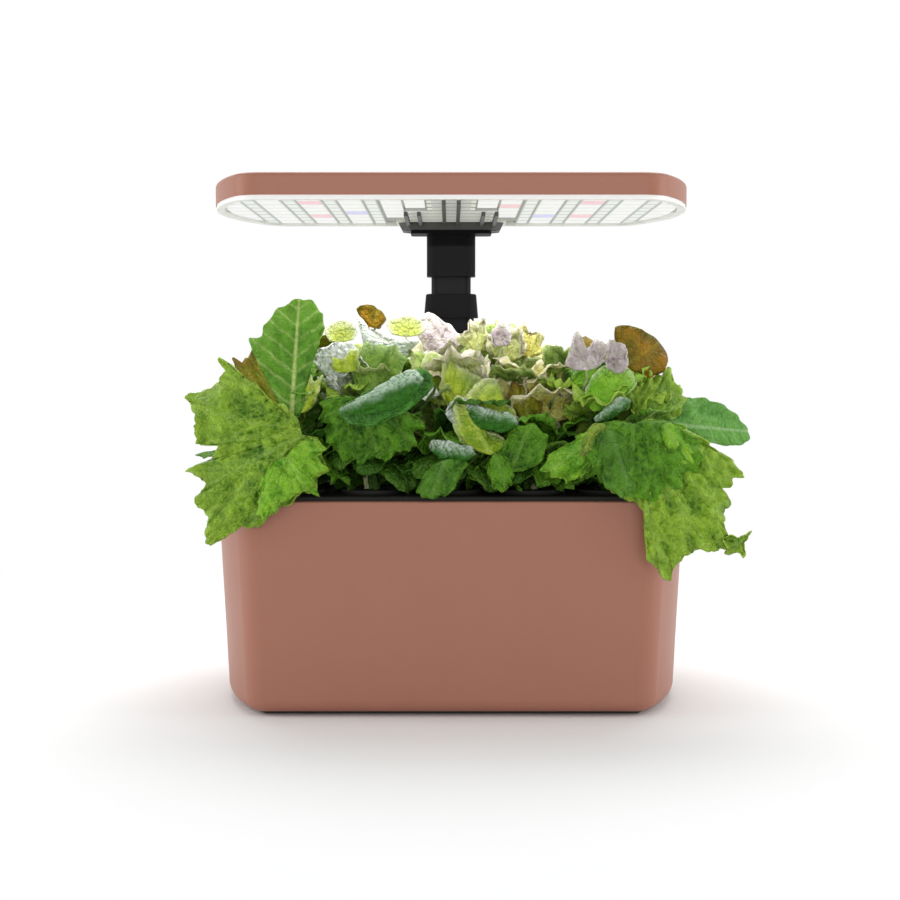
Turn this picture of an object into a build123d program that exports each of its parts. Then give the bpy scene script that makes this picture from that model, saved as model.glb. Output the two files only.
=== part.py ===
from build123d import *
import os
from math import atan, cos, degrees, pi, radians, sin, sqrt, tan

# Countertop hydroponic garden: ten pods over a water tank, under a lamp on a telescopic mast.
# Sizes are in millimetres. The origin is the centre of the face it rests on, and -Y is the front.

os.makedirs("parts", exist_ok=True)

# ---- overall sizes
garden_length = 320  # along X, over the bowed ends
garden_depth = 192  # along Y
end_bow_radius = 175  # of the two short sides, seen from above
corner_radius = 21
tight_corner = 2  # the least corner that an inset outline keeps
rim_height = 140  # top of the terracotta shell
lamp_height = 330  # underside of the lamp as it stands
draft_angle = 2.8  # of the walls, which lean in towards the foot
base_round = 9  # of the shell's bottom edge

# ---- clearances
slide_gap = 0.3  # between sliding or moving faces
seat_gap = 0.1  # between a piece and the pocket that holds it
pin_gap = 0.05  # radial, of a pin or shaft in its bore

# ---- shell and base
shell_wall = 3.2
foot_height = 2.4
plate_thickness = 2.2
flange_thickness = 3
flange_opening_length = 236
flange_opening_depth = 128
ring_width = 3.5
ring_groove = 0.5
rim_chamfer = 0.8
screw_radius = 1.5
screw_head_radius = 2.8
screw_head_height = 1.4
screw_reach = 5  # into the boss or foot
boss_radius = 3.9
air_slots = 9
air_slot_pitch = 8
air_slot_width = 2.5
air_slot_length = 30

# ---- water tank
tank_gap = 0.8
tank_wall = 2.2
tank_floor = 16  # underside of the tank
tank_rim = 2.4
tank_bevel = 5
ledge_inset = 1.7
bay_x = -32  # the dry bay lies to the right of this and behind bay_y
bay_y = 50
bay_corner = 8
bay_ledge = 4

# ---- decks
deck_inset = 1.0
deck_thickness = 2
deck_lip = 1.0
deck_lip_width = 2.5
deck_seam = 50
seam_gap = 0.2
skirt_depth = 6
skirt_wall = 1.5
skirt_gap = 0.4  # between the skirt and the tank's mouth

# ---- pods
pod_columns = 5
pod_rows = 2
pod_pitch_x = 52
pod_pitch_y = 60
pod_centre_y = -22
cup_top_radius = 17.3
cup_foot_radius = 12.5
cup_rim_radius = 20.5
cup_rim = 1.8
cup_wall = 1.5
cup_depth = 50
cup_sides = 12
cup_slots = 6
slot_width = 5
slot_height = 24
collar_width = 1.2
sponge_height = 44

# ---- plants
stem_radius = 4.5
leaf_gap = 1.2  # between neighbouring canopies and to the walls
canopy_left = 176
canopy_right = 192
canopy_front = 112
canopy_back = 48
canopy_corner = 14
canopy_overhang = 20  # how much further the corner leaves come forward than the rest
canopy_taper = 7
under_taper = 22
widest_rise = 33  # of the canopies' widest level above the deck's lip
front_shares = [0.51, 0.57, 0.52, 0.53, 0.49]  # of the height from lip to lamp, left to right
rear_shares = [0.70, 0.65, 0.63, 0.65, 0.61]
hang_depth = 48  # how far the corner leaves hang below the rim

# ---- mast
mast_y = 72
tube_width = 29
tube_depth = 16
tube_round = 5
tube_wall = 2
sleeve_wall = 2.2
sleeve_rise = 12  # of the fixed sleeve's mouth above the deck
sleeve_foot_length = 60
sleeve_foot = 5
middle_bottom = 55
mast_gap = 12.7  # bare tube between the middle tube's collar and the head block
collar_cap = 2  # of a collar over its tube's edge
mast_collar_height = 17.5
middle_collar_grow = 1.7  # of the middle tube's collar over its tube, all round
collar_flare = 1.5
sleeve_collar_grow = 3
top_tube_bottom = 126

# ---- lamp head
block_wall = 3.35  # round the top tube
block_height = 30.8
socket_depth = 26.3
neck_plate_width = 59
neck_plate_depth = 28
neck_plate = 2.6
bracket_width = 77
bracket_taper = 2.9  # each end leans in by this much
bracket_front = 59
bracket_back = 90
bracket_height = 5.8
bracket_wall = 2.5
rib_width = 2.5
rib_height = 3
centre_rib_x = 4.8
side_rib_xs = [22, 31]
centre_rib_front = -89
side_rib_front = -17
lamp_screw_x = 31
lamp_screw_ys = [65, 84]

# ---- lamp
band_height = 14.2  # the terracotta cover
rim_height_lamp = 2.8  # the white rim under it
cover_wall = 2.5
cover_round = 2.6
rim_set_back = 0.6
rim_ring = 6
rim_tenon = 6
board_thickness = 2
lens_drop = 1.0
wide_lens = 15.8
narrow_lens = 8
inner_lens = 13.2
lens_groove = 1.6
lens_rows = 8
row_pitch = 22.5
column_pitch = 26.4
first_narrow_x = 52.5
inner_columns = [(24.2, 3), (39.4, 6)]  # each with its rows, counted from the front
grille_width = 32
grille_wing = 31
grille_bar = 3
grille_pitch = 7.5
vent_slots = 9
vent_pitch = 7
vent_length = 30
vent_width = 2.4
vent_x = 84
vent_y = 40

# ---- sizes that follow
draft = tan(radians(draft_angle))  # how far the walls lean in for each millimetre down
base_top = foot_height + plate_thickness
flange_top = base_top + flange_thickness
deck_under = rim_height
deck_top = deck_under + deck_thickness
lip_top = deck_top + deck_lip
tank_top = rim_height
ledge_height = rim_height - tank_rim
cover_bottom = lamp_height + rim_height_lamp
lamp_top = cover_bottom + band_height
board_top = cover_bottom + board_thickness
bracket_bottom = lamp_height - bracket_height
block_top = bracket_bottom - neck_plate
block_bottom = block_top - block_height
socket_top = block_bottom + socket_depth
collar_top = block_bottom - mast_gap
collar_bottom = collar_top - mast_collar_height
middle_top = collar_top - collar_cap
sleeve_top = deck_top + sleeve_rise


def outline(inset):
    """The plan of the housing and of the lamp, set in from the outer edge."""
    half_length, half_depth = garden_length / 2 - inset, garden_depth / 2 - inset
    bow_centre = garden_length / 2 - end_bow_radius
    corner_x = bow_centre + sqrt((end_bow_radius - inset) ** 2 - half_depth**2)
    with BuildSketch() as plan:
        with BuildLine():
            Line((-corner_x, -half_depth), (corner_x, -half_depth))
            ThreePointArc((corner_x, -half_depth), (half_length, 0), (corner_x, half_depth))
            Line((corner_x, half_depth), (-corner_x, half_depth))
            ThreePointArc((-corner_x, half_depth), (-half_length, 0), (-corner_x, -half_depth))
        make_face()
        fillet(plan.vertices(), max(corner_radius - inset, tight_corner))
    return plan.sketch


def drafted(low, high, inset):
    """A solid between two heights whose sides lean as the housing's do."""
    with BuildPart() as form:
        with BuildSketch(Plane.XY.offset(low)):
            add(outline(inset + (rim_height - low) * draft))
        extrude(amount=high - low, taper=-draft_angle)
    return form.part


def slab(sketch, low, high):
    """A sketch on the ground plane, raised between two heights."""
    with BuildPart() as plate:
        with BuildSketch(Plane.XY.offset(low)):
            add(sketch)
        extrude(amount=high - low)
    return plate.part


def bay(grow):
    """The plan of the dry bay behind the tank, with its inner corner rounded."""
    width, depth = garden_length, garden_depth
    with BuildSketch() as notch:
        with Locations((bay_x - grow + width / 2, bay_y - grow + depth / 2)):
            RectangleRounded(width, depth, bay_corner + grow)
    return notch.sketch


def mast_section(grow):
    """The mast's rounded section, grown all round from the top tube's outside."""
    with BuildSketch() as section:
        with Locations((0, mast_y)):
            RectangleRounded(tube_width + 2 * grow, tube_depth + 2 * grow, tube_round + grow)
    return section.sketch


def screw(head_low, reach_top, ease):
    """A pan head screw pointing up, or its clearance when ease is more than nothing."""
    with BuildPart() as fastener:
        with BuildSketch(Plane.XY.offset(head_low)):
            Circle(screw_head_radius + ease)
        extrude(amount=screw_head_height + ease)
        with BuildSketch(Plane.XY.offset(head_low)):
            Circle(screw_radius + ease)
        extrude(amount=reach_top - head_low + ease)
    return fastener.part


# ---- where things go
plate_inset = (rim_height - foot_height) * draft + base_round + 1.5
ring_inset = plate_inset + 1
ring_inner = ring_inset + ring_width
flange_line = (flange_opening_depth / 2 + garden_depth / 2 - ring_inner) / 2
foot_screw_x = sleeve_foot_length / 2 - 5
corner_screw_x = flange_opening_length / 2 - 14
front_screws = [(x, -flange_line) for x in (-corner_screw_x, 0, corner_screw_x)]
rear_screws = [(x, flange_line) for x in (-corner_screw_x, corner_screw_x)]
foot_screws = [(x, flange_line) for x in (-foot_screw_x, foot_screw_x)]
shell_screws = front_screws + rear_screws
base_screw_spots = shell_screws + foot_screws
screw_head_low = foot_height + 0.4
screw_top = flange_top + screw_reach

pod_xs = [pod_pitch_x * (column - (pod_columns - 1) / 2) for column in range(pod_columns)]
pod_ys = [pod_centre_y + pod_pitch_y * (row - (pod_rows - 1) / 2) for row in range(pod_rows)]
pod_spots = [(x, y) for y in pod_ys for x in pod_xs]
collar_seat = lip_top  # the pod collars stand as high as the deck's lip
cup_top = collar_seat + cup_rim
cup_bottom = cup_top - cup_depth

# ---- terracotta shell: leaning walls, a flange inside its foot, a ledge inside its rim
with BuildPart() as tub_shell:
    add(drafted(foot_height, rim_height, 0))
    fillet(tub_shell.faces().sort_by(Axis.Z)[0].edges(), base_round)
    chamfer(tub_shell.faces().sort_by(Axis.Z)[-1].edges(), rim_chamfer)
    add(drafted(flange_top, rim_height, shell_wall), mode=Mode.SUBTRACT)
    add(slab(outline(ledge_inset), ledge_height, rim_height), mode=Mode.SUBTRACT)
    add(slab(outline(plate_inset - seat_gap), foot_height, base_top), mode=Mode.SUBTRACT)
    with BuildSketch(Plane.XY.offset(base_top)):
        RectangleRounded(flange_opening_length, flange_opening_depth, corner_radius)
    extrude(amount=flange_thickness, mode=Mode.SUBTRACT)
    with BuildSketch(Plane.XY.offset(flange_top)):
        with Locations(*shell_screws):
            Circle(boss_radius)
    extrude(amount=screw_reach + 1)
    with Locations(*base_screw_spots):
        add(screw(screw_head_low, screw_top, pin_gap), mode=Mode.SUBTRACT)
    # the hole for the power jack, level through the leaning rear wall
    jack_x, jack_z, jack_radius = 96, 28, 5.6
    rear_wall_y = garden_depth / 2 - (rim_height - jack_z) * draft
    with BuildSketch(Plane.XZ.offset(-rear_wall_y - 2)):
        with Locations((jack_x, jack_z)):
            Circle(jack_radius + pin_gap)
    extrude(amount=shell_wall + 4, mode=Mode.SUBTRACT)
tub_shell.part.label = "tub_shell"
export_step(tub_shell.part, "parts/tub_shell.step")

# ---- base plate, let into the shell's foot, with a groove for the foot ring
with BuildPart() as base_plate:
    add(slab(outline(plate_inset), foot_height, base_top))
    add(slab(outline(ring_inset), foot_height, foot_height + ring_groove), mode=Mode.SUBTRACT)
    add(slab(outline(ring_inner), foot_height, foot_height + ring_groove))
    with Locations(*base_screw_spots):
        add(screw(screw_head_low, screw_top, slide_gap), mode=Mode.SUBTRACT)
    # the screw heads are reached through wells
    with BuildSketch(Plane.XY.offset(foot_height)):
        with Locations(*base_screw_spots):
            Circle(screw_head_radius + slide_gap)
    extrude(amount=screw_head_low - foot_height, mode=Mode.SUBTRACT)
    # air slots under the dry bay
    with BuildSketch(Plane.XY.offset(foot_height)):
        with GridLocations(air_slot_pitch, 0, air_slots, 1):
            Rectangle(air_slot_width, air_slot_length)
    extrude(amount=plate_thickness, mode=Mode.SUBTRACT)
base_plate.part.label = "base_plate"
export_step(base_plate.part, "parts/base_plate.step")

with BuildPart() as foot_ring:
    add(slab(outline(ring_inset), 0, foot_height + ring_groove))
    add(slab(outline(ring_inner), 0, foot_height + ring_groove), mode=Mode.SUBTRACT)
foot_ring.part.label = "foot_ring"
export_step(foot_ring.part, "parts/foot_ring.step")

with BuildPart() as base_screws:
    with Locations(*base_screw_spots):
        add(screw(screw_head_low, screw_top, 0))
base_screws.part.label = "base_screws"
export_step(base_screws.part, "parts/base_screws.step")

# ---- water tank: it hangs by its rim from the shell's ledge and leaves the dry bay free
tank_inset = shell_wall + tank_gap
with BuildPart() as water_tank:
    add(drafted(tank_floor, tank_top, tank_inset))
    add(slab(bay(0), tank_floor, tank_top), mode=Mode.SUBTRACT)
    chamfer(water_tank.faces().sort_by(Axis.Z)[0].edges(), tank_bevel)
    add(slab(outline(ledge_inset + slide_gap), ledge_height, tank_top))
    with BuildPart(mode=Mode.SUBTRACT) as water:
        add(drafted(tank_floor + tank_wall, tank_top, tank_inset + tank_wall))
        add(slab(bay(tank_wall), tank_floor, tank_top), mode=Mode.SUBTRACT)
        chamfer(water.faces().sort_by(Axis.Z)[0].edges(), tank_bevel - tank_wall)
    with BuildPart(mode=Mode.SUBTRACT):
        add(slab(outline(tank_inset + bay_ledge), ledge_height, tank_top))
        add(slab(bay(-bay_ledge), ledge_height, tank_top), mode=Mode.INTERSECT)
water_tank.part.label = "water_tank"
export_step(water_tank.part, "parts/water_tank.step")

# ---- front deck: pod holes with raised collars, a lip round its edge and a skirt in the tank's mouth
front_half = Rectangle(garden_length, garden_depth, mode=Mode.PRIVATE).moved(
    Location((0, deck_seam - seam_gap / 2 - garden_depth / 2))
)
rear_half = Rectangle(garden_length, garden_depth, mode=Mode.PRIVATE).moved(
    Location((0, deck_seam + seam_gap / 2 + garden_depth / 2))
)
skirt_inset = tank_inset + tank_wall + skirt_gap
skirt_low = deck_under - skirt_depth


def deck_form(half):
    """One of the two decks: plate, lip and skirt, cut off at the seam."""
    with BuildPart() as deck:
        add(slab(outline(deck_inset), deck_under, lip_top))
        chamfer(deck.faces().sort_by(Axis.Z)[-1].edges(), 0.5)
        add(slab(outline(deck_inset + deck_lip_width), deck_top, lip_top), mode=Mode.SUBTRACT)
        add(slab(outline(skirt_inset), skirt_low, deck_under))
        add(slab(outline(skirt_inset + skirt_wall), skirt_low, deck_under), mode=Mode.SUBTRACT)
        add(slab(bay(tank_wall + skirt_gap), skirt_low, deck_under), mode=Mode.SUBTRACT)
        add(slab(half, skirt_low, lip_top), mode=Mode.INTERSECT)
    return deck.part


with BuildPart() as grow_deck:
    add(deck_form(front_half))
    with BuildSketch(Plane.XY.offset(deck_top)):
        with Locations(*pod_spots):
            Circle(cup_rim_radius + collar_width)
    extrude(amount=collar_seat - deck_top)
    with BuildSketch(Plane.XY.offset(deck_under)):
        with Locations(*pod_spots):
            Circle(cup_top_radius + slide_gap)
    extrude(amount=collar_seat - deck_under, mode=Mode.SUBTRACT)
grow_deck.part.label = "grow_deck"
export_step(grow_deck.part, "parts/grow_deck.step")

# ---- service deck: mast hole, button holes, gauge hole and fill port
button_xs = [70, 92, 114]
button_y = 72
button_radius = 5.8
button_flange_radius = 7.4
button_flange = 1.2
button_rise = 1.6
button_travel = 1.5
button_stem_radius = 2
control_top = deck_under - 12  # upper face of the control board
control_length = 76
control_depth = 25
control_thickness = 1.6
switch_size = 6
switch_height = 4
gauge_x, gauge_y = -52, 70
gauge_tube_radius = 4
gauge_tube_bottom = deck_under - 11
port_x, port_y = -98, 69
port_length = 38
port_depth = 19
flap_length = 46
flap_depth = 25
flap_thickness = 2
hinge_radius = 2.2
hinge_length = 20
hinge_y = 84.6
hinge_z = deck_top + hinge_radius + slide_gap
flap_pin_radius = 1.1
ear_width = 4
control_boss_spots = [
    (button_xs[1] + side * (control_length / 2 - 5), button_y + end * (control_depth / 2 - 4))
    for side in (-1, 1)
    for end in (-1, 1)
]

with BuildPart() as service_deck:
    add(deck_form(rear_half))
    sleeve_grow = 2 * slide_gap + tube_wall + sleeve_wall
    add(slab(mast_section(sleeve_grow + slide_gap), deck_under, deck_top), mode=Mode.SUBTRACT)
    with BuildSketch(Plane.XY.offset(deck_under)):
        with Locations(*[(x, button_y) for x in button_xs]):
            Circle(button_radius + slide_gap)
        with Locations((gauge_x, gauge_y)):
            Circle(gauge_tube_radius + seat_gap)
        with Locations((port_x, port_y)):
            RectangleRounded(port_length, port_depth, 4)
    extrude(amount=deck_thickness, mode=Mode.SUBTRACT)
    # bosses that carry the control board, with a stake through each of its holes
    with BuildSketch(Plane.XY.offset(control_top)):
        with Locations(*control_boss_spots):
            Circle(3)
    extrude(amount=deck_under - control_top)
    with BuildSketch(Plane.XY.offset(control_top - control_thickness - 1)):
        with Locations(*control_boss_spots):
            Circle(1.3)
    extrude(amount=control_thickness + 1)
    # hinge ears of the fill flap
    with BuildSketch(Plane.YZ.offset(port_x)):
        with Locations((hinge_y, hinge_z)):
            Circle(hinge_radius)
        with Locations((hinge_y, (deck_top + hinge_z) / 2)):
            Rectangle(2 * hinge_radius, hinge_z - deck_top)
    extrude(amount=hinge_length / 2 + slide_gap + ear_width, both=True)
    with BuildSketch(Plane.YZ.offset(port_x)):
        with Locations((hinge_y, hinge_z)):
            Rectangle(2 * hinge_radius + 1, 2 * (hinge_z - deck_top))
    extrude(amount=hinge_length / 2 + slide_gap, both=True, mode=Mode.SUBTRACT)
    with BuildSketch(Plane.YZ.offset(port_x)):
        with Locations((hinge_y, hinge_z)):
            Circle(flap_pin_radius)
    extrude(amount=hinge_length / 2 + slide_gap + ear_width, both=True, mode=Mode.SUBTRACT)
service_deck.part.label = "service_deck"
export_step(service_deck.part, "parts/service_deck.step")

with BuildPart() as fill_flap:
    with BuildSketch(Plane.XY.offset(deck_top)):
        with Locations((port_x, hinge_y - hinge_radius - slide_gap - flap_depth / 2)):
            RectangleRounded(flap_length, flap_depth, 3)
        # finger tab on the front edge
        with Locations((port_x, hinge_y - hinge_radius - slide_gap - flap_depth)):
            SlotOverall(16, 6)
    extrude(amount=flap_thickness)
    chamfer(fill_flap.faces().sort_by(Axis.Z)[-1].edges(), 0.4)
    # knuckle round the pin, joined to the plate by a short web
    with BuildSketch(Plane.YZ.offset(port_x)):
        with Locations((hinge_y, hinge_z)):
            Circle(hinge_radius)
        with Locations((hinge_y - hinge_radius, deck_top + slide_gap + flap_thickness / 2)):
            Rectangle(2 * hinge_radius, flap_thickness - 2 * slide_gap)
    extrude(amount=hinge_length / 2, both=True)
    with BuildSketch(Plane.YZ.offset(port_x)):
        with Locations((hinge_y, hinge_z)):
            Circle(flap_pin_radius + pin_gap)
    extrude(amount=hinge_length / 2, both=True, mode=Mode.SUBTRACT)
fill_flap.part.label = "fill_flap"
export_step(fill_flap.part, "parts/fill_flap.step")

with BuildPart() as flap_pin:
    with BuildSketch(Plane.YZ.offset(port_x)):
        with Locations((hinge_y, hinge_z)):
            Circle(flap_pin_radius)
    extrude(amount=hinge_length / 2 + slide_gap + ear_width, both=True)
flap_pin.part.label = "flap_pin"
export_step(flap_pin.part, "parts/flap_pin.step")

# ---- float gauge: a stem through a bezel, lifted by a float below the deck
gauge_travel = 18
bezel_radius = 8
bezel_thickness = 1.5
gauge_stem_radius = 1.5
gauge_head_radius = 3.4
gauge_head = 3
float_radius = 11
float_height = 12
float_top = gauge_tube_bottom - gauge_travel - slide_gap
bezel_top = deck_top + bezel_thickness

with BuildPart() as gauge_bezel:
    with BuildSketch(Plane.XY.offset(deck_top)):
        with Locations((gauge_x, gauge_y)):
            Circle(bezel_radius)
    extrude(amount=bezel_thickness)
    chamfer(gauge_bezel.faces().sort_by(Axis.Z)[-1].edges(), 0.6)
    with BuildSketch(Plane.XY.offset(gauge_tube_bottom)):
        with Locations((gauge_x, gauge_y)):
            Circle(gauge_tube_radius)
    extrude(amount=deck_top - gauge_tube_bottom)
    with BuildSketch(Plane.XY.offset(gauge_tube_bottom)):
        with Locations((gauge_x, gauge_y)):
            Circle(gauge_stem_radius + pin_gap)
    extrude(amount=bezel_top - gauge_tube_bottom, mode=Mode.SUBTRACT)
gauge_bezel.part.label = "gauge_bezel"
export_step(gauge_bezel.part, "parts/gauge_bezel.step")

with BuildPart() as gauge_stem:
    with BuildSketch(Plane.XY.offset(float_top - float_height)):
        with Locations((gauge_x, gauge_y)):
            Circle(gauge_stem_radius)
    extrude(amount=bezel_top - float_top + float_height)
    with BuildSketch(Plane.XY.offset(bezel_top)):
        with Locations((gauge_x, gauge_y)):
            Circle(gauge_head_radius)
    extrude(amount=gauge_head)
    chamfer(gauge_stem.faces().sort_by(Axis.Z)[-1].edges(), 1.2)
gauge_stem.part.label = "gauge_stem"
export_step(gauge_stem.part, "parts/gauge_stem.step")

with BuildPart() as gauge_float:
    with BuildSketch(Plane.XY.offset(float_top - float_height)):
        with Locations((gauge_x, gauge_y)):
            Circle(float_radius)
            Circle(gauge_stem_radius, mode=Mode.SUBTRACT)
    extrude(amount=float_height)
    chamfer(gauge_float.faces().sort_by(Axis.Z)[-1].outer_wire().edges(), 2)
gauge_float.part.label = "gauge_float"
export_step(gauge_float.part, "parts/gauge_float.step")

# ---- push buttons and the control board under them
for label, button_x in zip(("light_button", "mode_button", "pump_button"), button_xs):
    with BuildPart() as button:
        with BuildSketch(Plane.XY.offset(deck_under)):
            with Locations((button_x, button_y)):
                Circle(button_radius)
        extrude(amount=deck_thickness + button_rise)
        chamfer(button.faces().sort_by(Axis.Z)[-1].edges(), 0.6)
        with BuildSketch(Plane.XY.offset(deck_under - button_flange)):
            with Locations((button_x, button_y)):
                Circle(button_flange_radius)
        extrude(amount=button_flange)
        stem_low = control_top + switch_height + button_travel + slide_gap
        with BuildSketch(Plane.XY.offset(stem_low)):
            with Locations((button_x, button_y)):
                Circle(button_stem_radius)
        extrude(amount=deck_under - stem_low)
    button.part.label = label
    export_step(button.part, f"parts/{label}.step")

with BuildPart() as control_board:
    with BuildSketch(Plane.XY.offset(control_top - control_thickness)):
        with Locations((button_xs[1], button_y)):
            Rectangle(control_length, control_depth)
        with Locations(*control_boss_spots):
            Circle(1.3 + pin_gap, mode=Mode.SUBTRACT)
    extrude(amount=control_thickness)
    with BuildSketch(Plane.XY.offset(control_top)):
        with Locations(*[(x, button_y) for x in button_xs]):
            Rectangle(switch_size, switch_size)
        with Locations(*[((a + b) / 2, button_y) for a, b in zip(button_xs, button_xs[1:])]):
            Rectangle(8, 5)
    extrude(amount=switch_height)
control_board.part.label = "control_board"
export_step(control_board.part, "parts/control_board.step")

# ---- power jack in the rear wall, its socket open to the back
jack_bore = 3.2
jack_pin_radius = 1
jack_depth = 12
jack_face = rear_wall_y + 1
with BuildPart() as dc_jack:
    with BuildSketch(Plane.XZ.offset(-jack_face)):
        with Locations((jack_x, jack_z)):
            Circle(jack_radius)
    extrude(amount=jack_depth)
    with BuildSketch(Plane.XZ.offset(-(rear_wall_y - shell_wall - 1))):
        with Locations((jack_x, jack_z)):
            RectangleRounded(15, 15, 2)
    extrude(amount=4)
    with BuildSketch(Plane.XZ.offset(-jack_face)):
        with Locations((jack_x, jack_z)):
            Circle(jack_bore)
            Circle(jack_pin_radius, mode=Mode.SUBTRACT)
    extrude(amount=jack_depth - 2, mode=Mode.SUBTRACT)
dc_jack.part.label = "dc_jack"
export_step(dc_jack.part, "parts/dc_jack.step")

# ---- pump on the tank's floor: a rotor well below, a volute above, a strainer over it
pump_x, pump_y = 78, -22
pump_length = 44
pump_depth = 34
pump_bottom = tank_floor + tank_wall
pump_height = 30
well_radius = 6.8
well_floor = pump_bottom + 4
volute_radius = 11.5
volute_floor = pump_bottom + 20
pump_top = pump_bottom + pump_height
nozzle_radius = 4.5
nozzle_bore = 3
nozzle_length = 12
shaft_radius = 1
shaft_seat = 3
strainer_thickness = 2.5


def at_pump(height):
    """The level plane through the pump's axis at a height."""
    return Plane(origin=(pump_x, pump_y, height))


with BuildPart() as pump_housing:
    with BuildSketch(at_pump(pump_bottom)):
        RectangleRounded(pump_length, pump_depth, 6)
    extrude(amount=pump_height)
    nozzle_centre = (pump_x, pump_y, volute_floor + nozzle_radius)
    nozzle_plane = Plane(origin=nozzle_centre, x_dir=(0, 1, 0), z_dir=(1, 0, 0))
    with BuildSketch(nozzle_plane):
        Circle(nozzle_radius)
    extrude(amount=pump_length / 2 + nozzle_length)
    with BuildSketch(nozzle_plane):
        Circle(nozzle_bore)
    extrude(amount=pump_length / 2 + nozzle_length, mode=Mode.SUBTRACT)
    with BuildSketch(at_pump(volute_floor)):
        Circle(volute_radius)
    extrude(amount=pump_top - volute_floor, mode=Mode.SUBTRACT)
    with BuildSketch(at_pump(well_floor)):
        Circle(well_radius)
    extrude(amount=volute_floor - well_floor, mode=Mode.SUBTRACT)
    with BuildSketch(at_pump(well_floor - shaft_seat)):
        Circle(shaft_radius)
    extrude(amount=shaft_seat, mode=Mode.SUBTRACT)
pump_housing.part.label = "pump_housing"
export_step(pump_housing.part, "parts/pump_housing.step")

with BuildPart() as pump_strainer:
    with BuildSketch(at_pump(pump_top)):
        RectangleRounded(pump_length, pump_depth, 6)
        Circle(shaft_radius, mode=Mode.SUBTRACT)
        with Locations((-7.5, 0), (7.5, 0)):
            with GridLocations(3.4, 0, 3, 1):
                Rectangle(1.8, 14, mode=Mode.SUBTRACT)
    extrude(amount=strainer_thickness)
pump_strainer.part.label = "pump_strainer"
export_step(pump_strainer.part, "parts/pump_strainer.step")

with BuildPart() as pump_shaft:
    with BuildSketch(at_pump(well_floor - shaft_seat)):
        Circle(shaft_radius)
    extrude(amount=pump_top + strainer_thickness - well_floor + shaft_seat)
pump_shaft.part.label = "pump_shaft"
export_step(pump_shaft.part, "parts/pump_shaft.step")

# ---- impeller: magnet, disc and curved blades on the ceramic shaft
blade_count = 6
blade_height = 6
blade_thickness = 1
blade_reach = volute_radius - 1.5
blade_points = [(2, 0), (0.6 * blade_reach, 0.28), (blade_reach - 0.6, 0.85)]  # radius and sweep
magnet_radius = well_radius - 0.5
disc_thickness = 1
disc_low = volute_floor + slide_gap
with BuildPart() as impeller:
    with BuildSketch(at_pump(well_floor + slide_gap)):
        Circle(magnet_radius)
    extrude(amount=disc_low - well_floor - slide_gap)
    with BuildSketch(at_pump(disc_low)):
        Circle(blade_reach)
    extrude(amount=disc_thickness)
    with BuildSketch(at_pump(disc_low + disc_thickness)):
        with BuildLine():
            for blade in range(blade_count):
                start = 2 * pi * blade / blade_count
                angles = [start + sweep for radius, sweep in blade_points]
                radii = [radius for radius, sweep in blade_points]
                ThreePointArc(*[(r * cos(angle), r * sin(angle)) for r, angle in zip(radii, angles)])
        trace(line_width=blade_thickness)
        Circle(shaft_radius + 1.5)
    extrude(amount=blade_height)
    with BuildSketch(at_pump(well_floor)):
        Circle(shaft_radius + pin_gap)
    extrude(amount=pump_height, mode=Mode.SUBTRACT)
impeller.part.label = "impeller"
export_step(impeller.part, "parts/impeller.step")

# ---- net cup: a slotted twelve-sided basket with a round rim, the same for every pod
basket_height = collar_seat - cup_bottom
basket_taper = degrees(atan((cup_top_radius - cup_foot_radius) / basket_height))
with BuildPart() as net_cup:
    with BuildSketch(Plane.XY.offset(collar_seat)):
        RegularPolygon(cup_top_radius, cup_sides)
    extrude(amount=-basket_height, taper=basket_taper)
    with BuildSketch(Plane.XY.offset(collar_seat)):
        Circle(cup_rim_radius)
    extrude(amount=cup_rim)
    with BuildSketch(Plane.XY.offset(cup_top)):
        RegularPolygon(cup_top_radius - cup_wall, cup_sides)
    extrude(amount=-(cup_depth - cup_wall), taper=basket_taper, mode=Mode.SUBTRACT)
    with BuildSketch(Plane.XY.offset(cup_bottom)):
        Circle(4)
    extrude(amount=cup_wall, mode=Mode.SUBTRACT)
    with Locations((0, 0, cup_bottom + 8 + slot_height / 2)):
        with PolarLocations(0, cup_slots // 2, start_angle=180 / cup_sides, angular_range=180):
            Box(3 * cup_top_radius, slot_width, slot_height, mode=Mode.SUBTRACT)

# ---- sponge: a tapered plug that stands on the cup's floor
sponge_low = cup_bottom + cup_wall
sponge_top = sponge_low + sponge_height
with BuildPart() as sponge:
    with BuildSketch(Plane.XY.offset(sponge_low)):
        RegularPolygon(cup_foot_radius - cup_wall - slide_gap, cup_sides)
    extrude(amount=sponge_height, taper=-basket_taper)

for number, (pod_x, pod_y) in enumerate(pod_spots, 1):
    placed_cup = net_cup.part.moved(Location((pod_x, pod_y, 0)))
    placed_cup.label = f"net_cup_{number}"
    export_step(placed_cup, f"parts/net_cup_{number}.step")

with BuildPart() as grow_sponges:
    with Locations(*pod_spots):
        add(sponge.part)
grow_sponges.part.label = "grow_sponges"
export_step(grow_sponges.part, "parts/grow_sponges.step")

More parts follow.
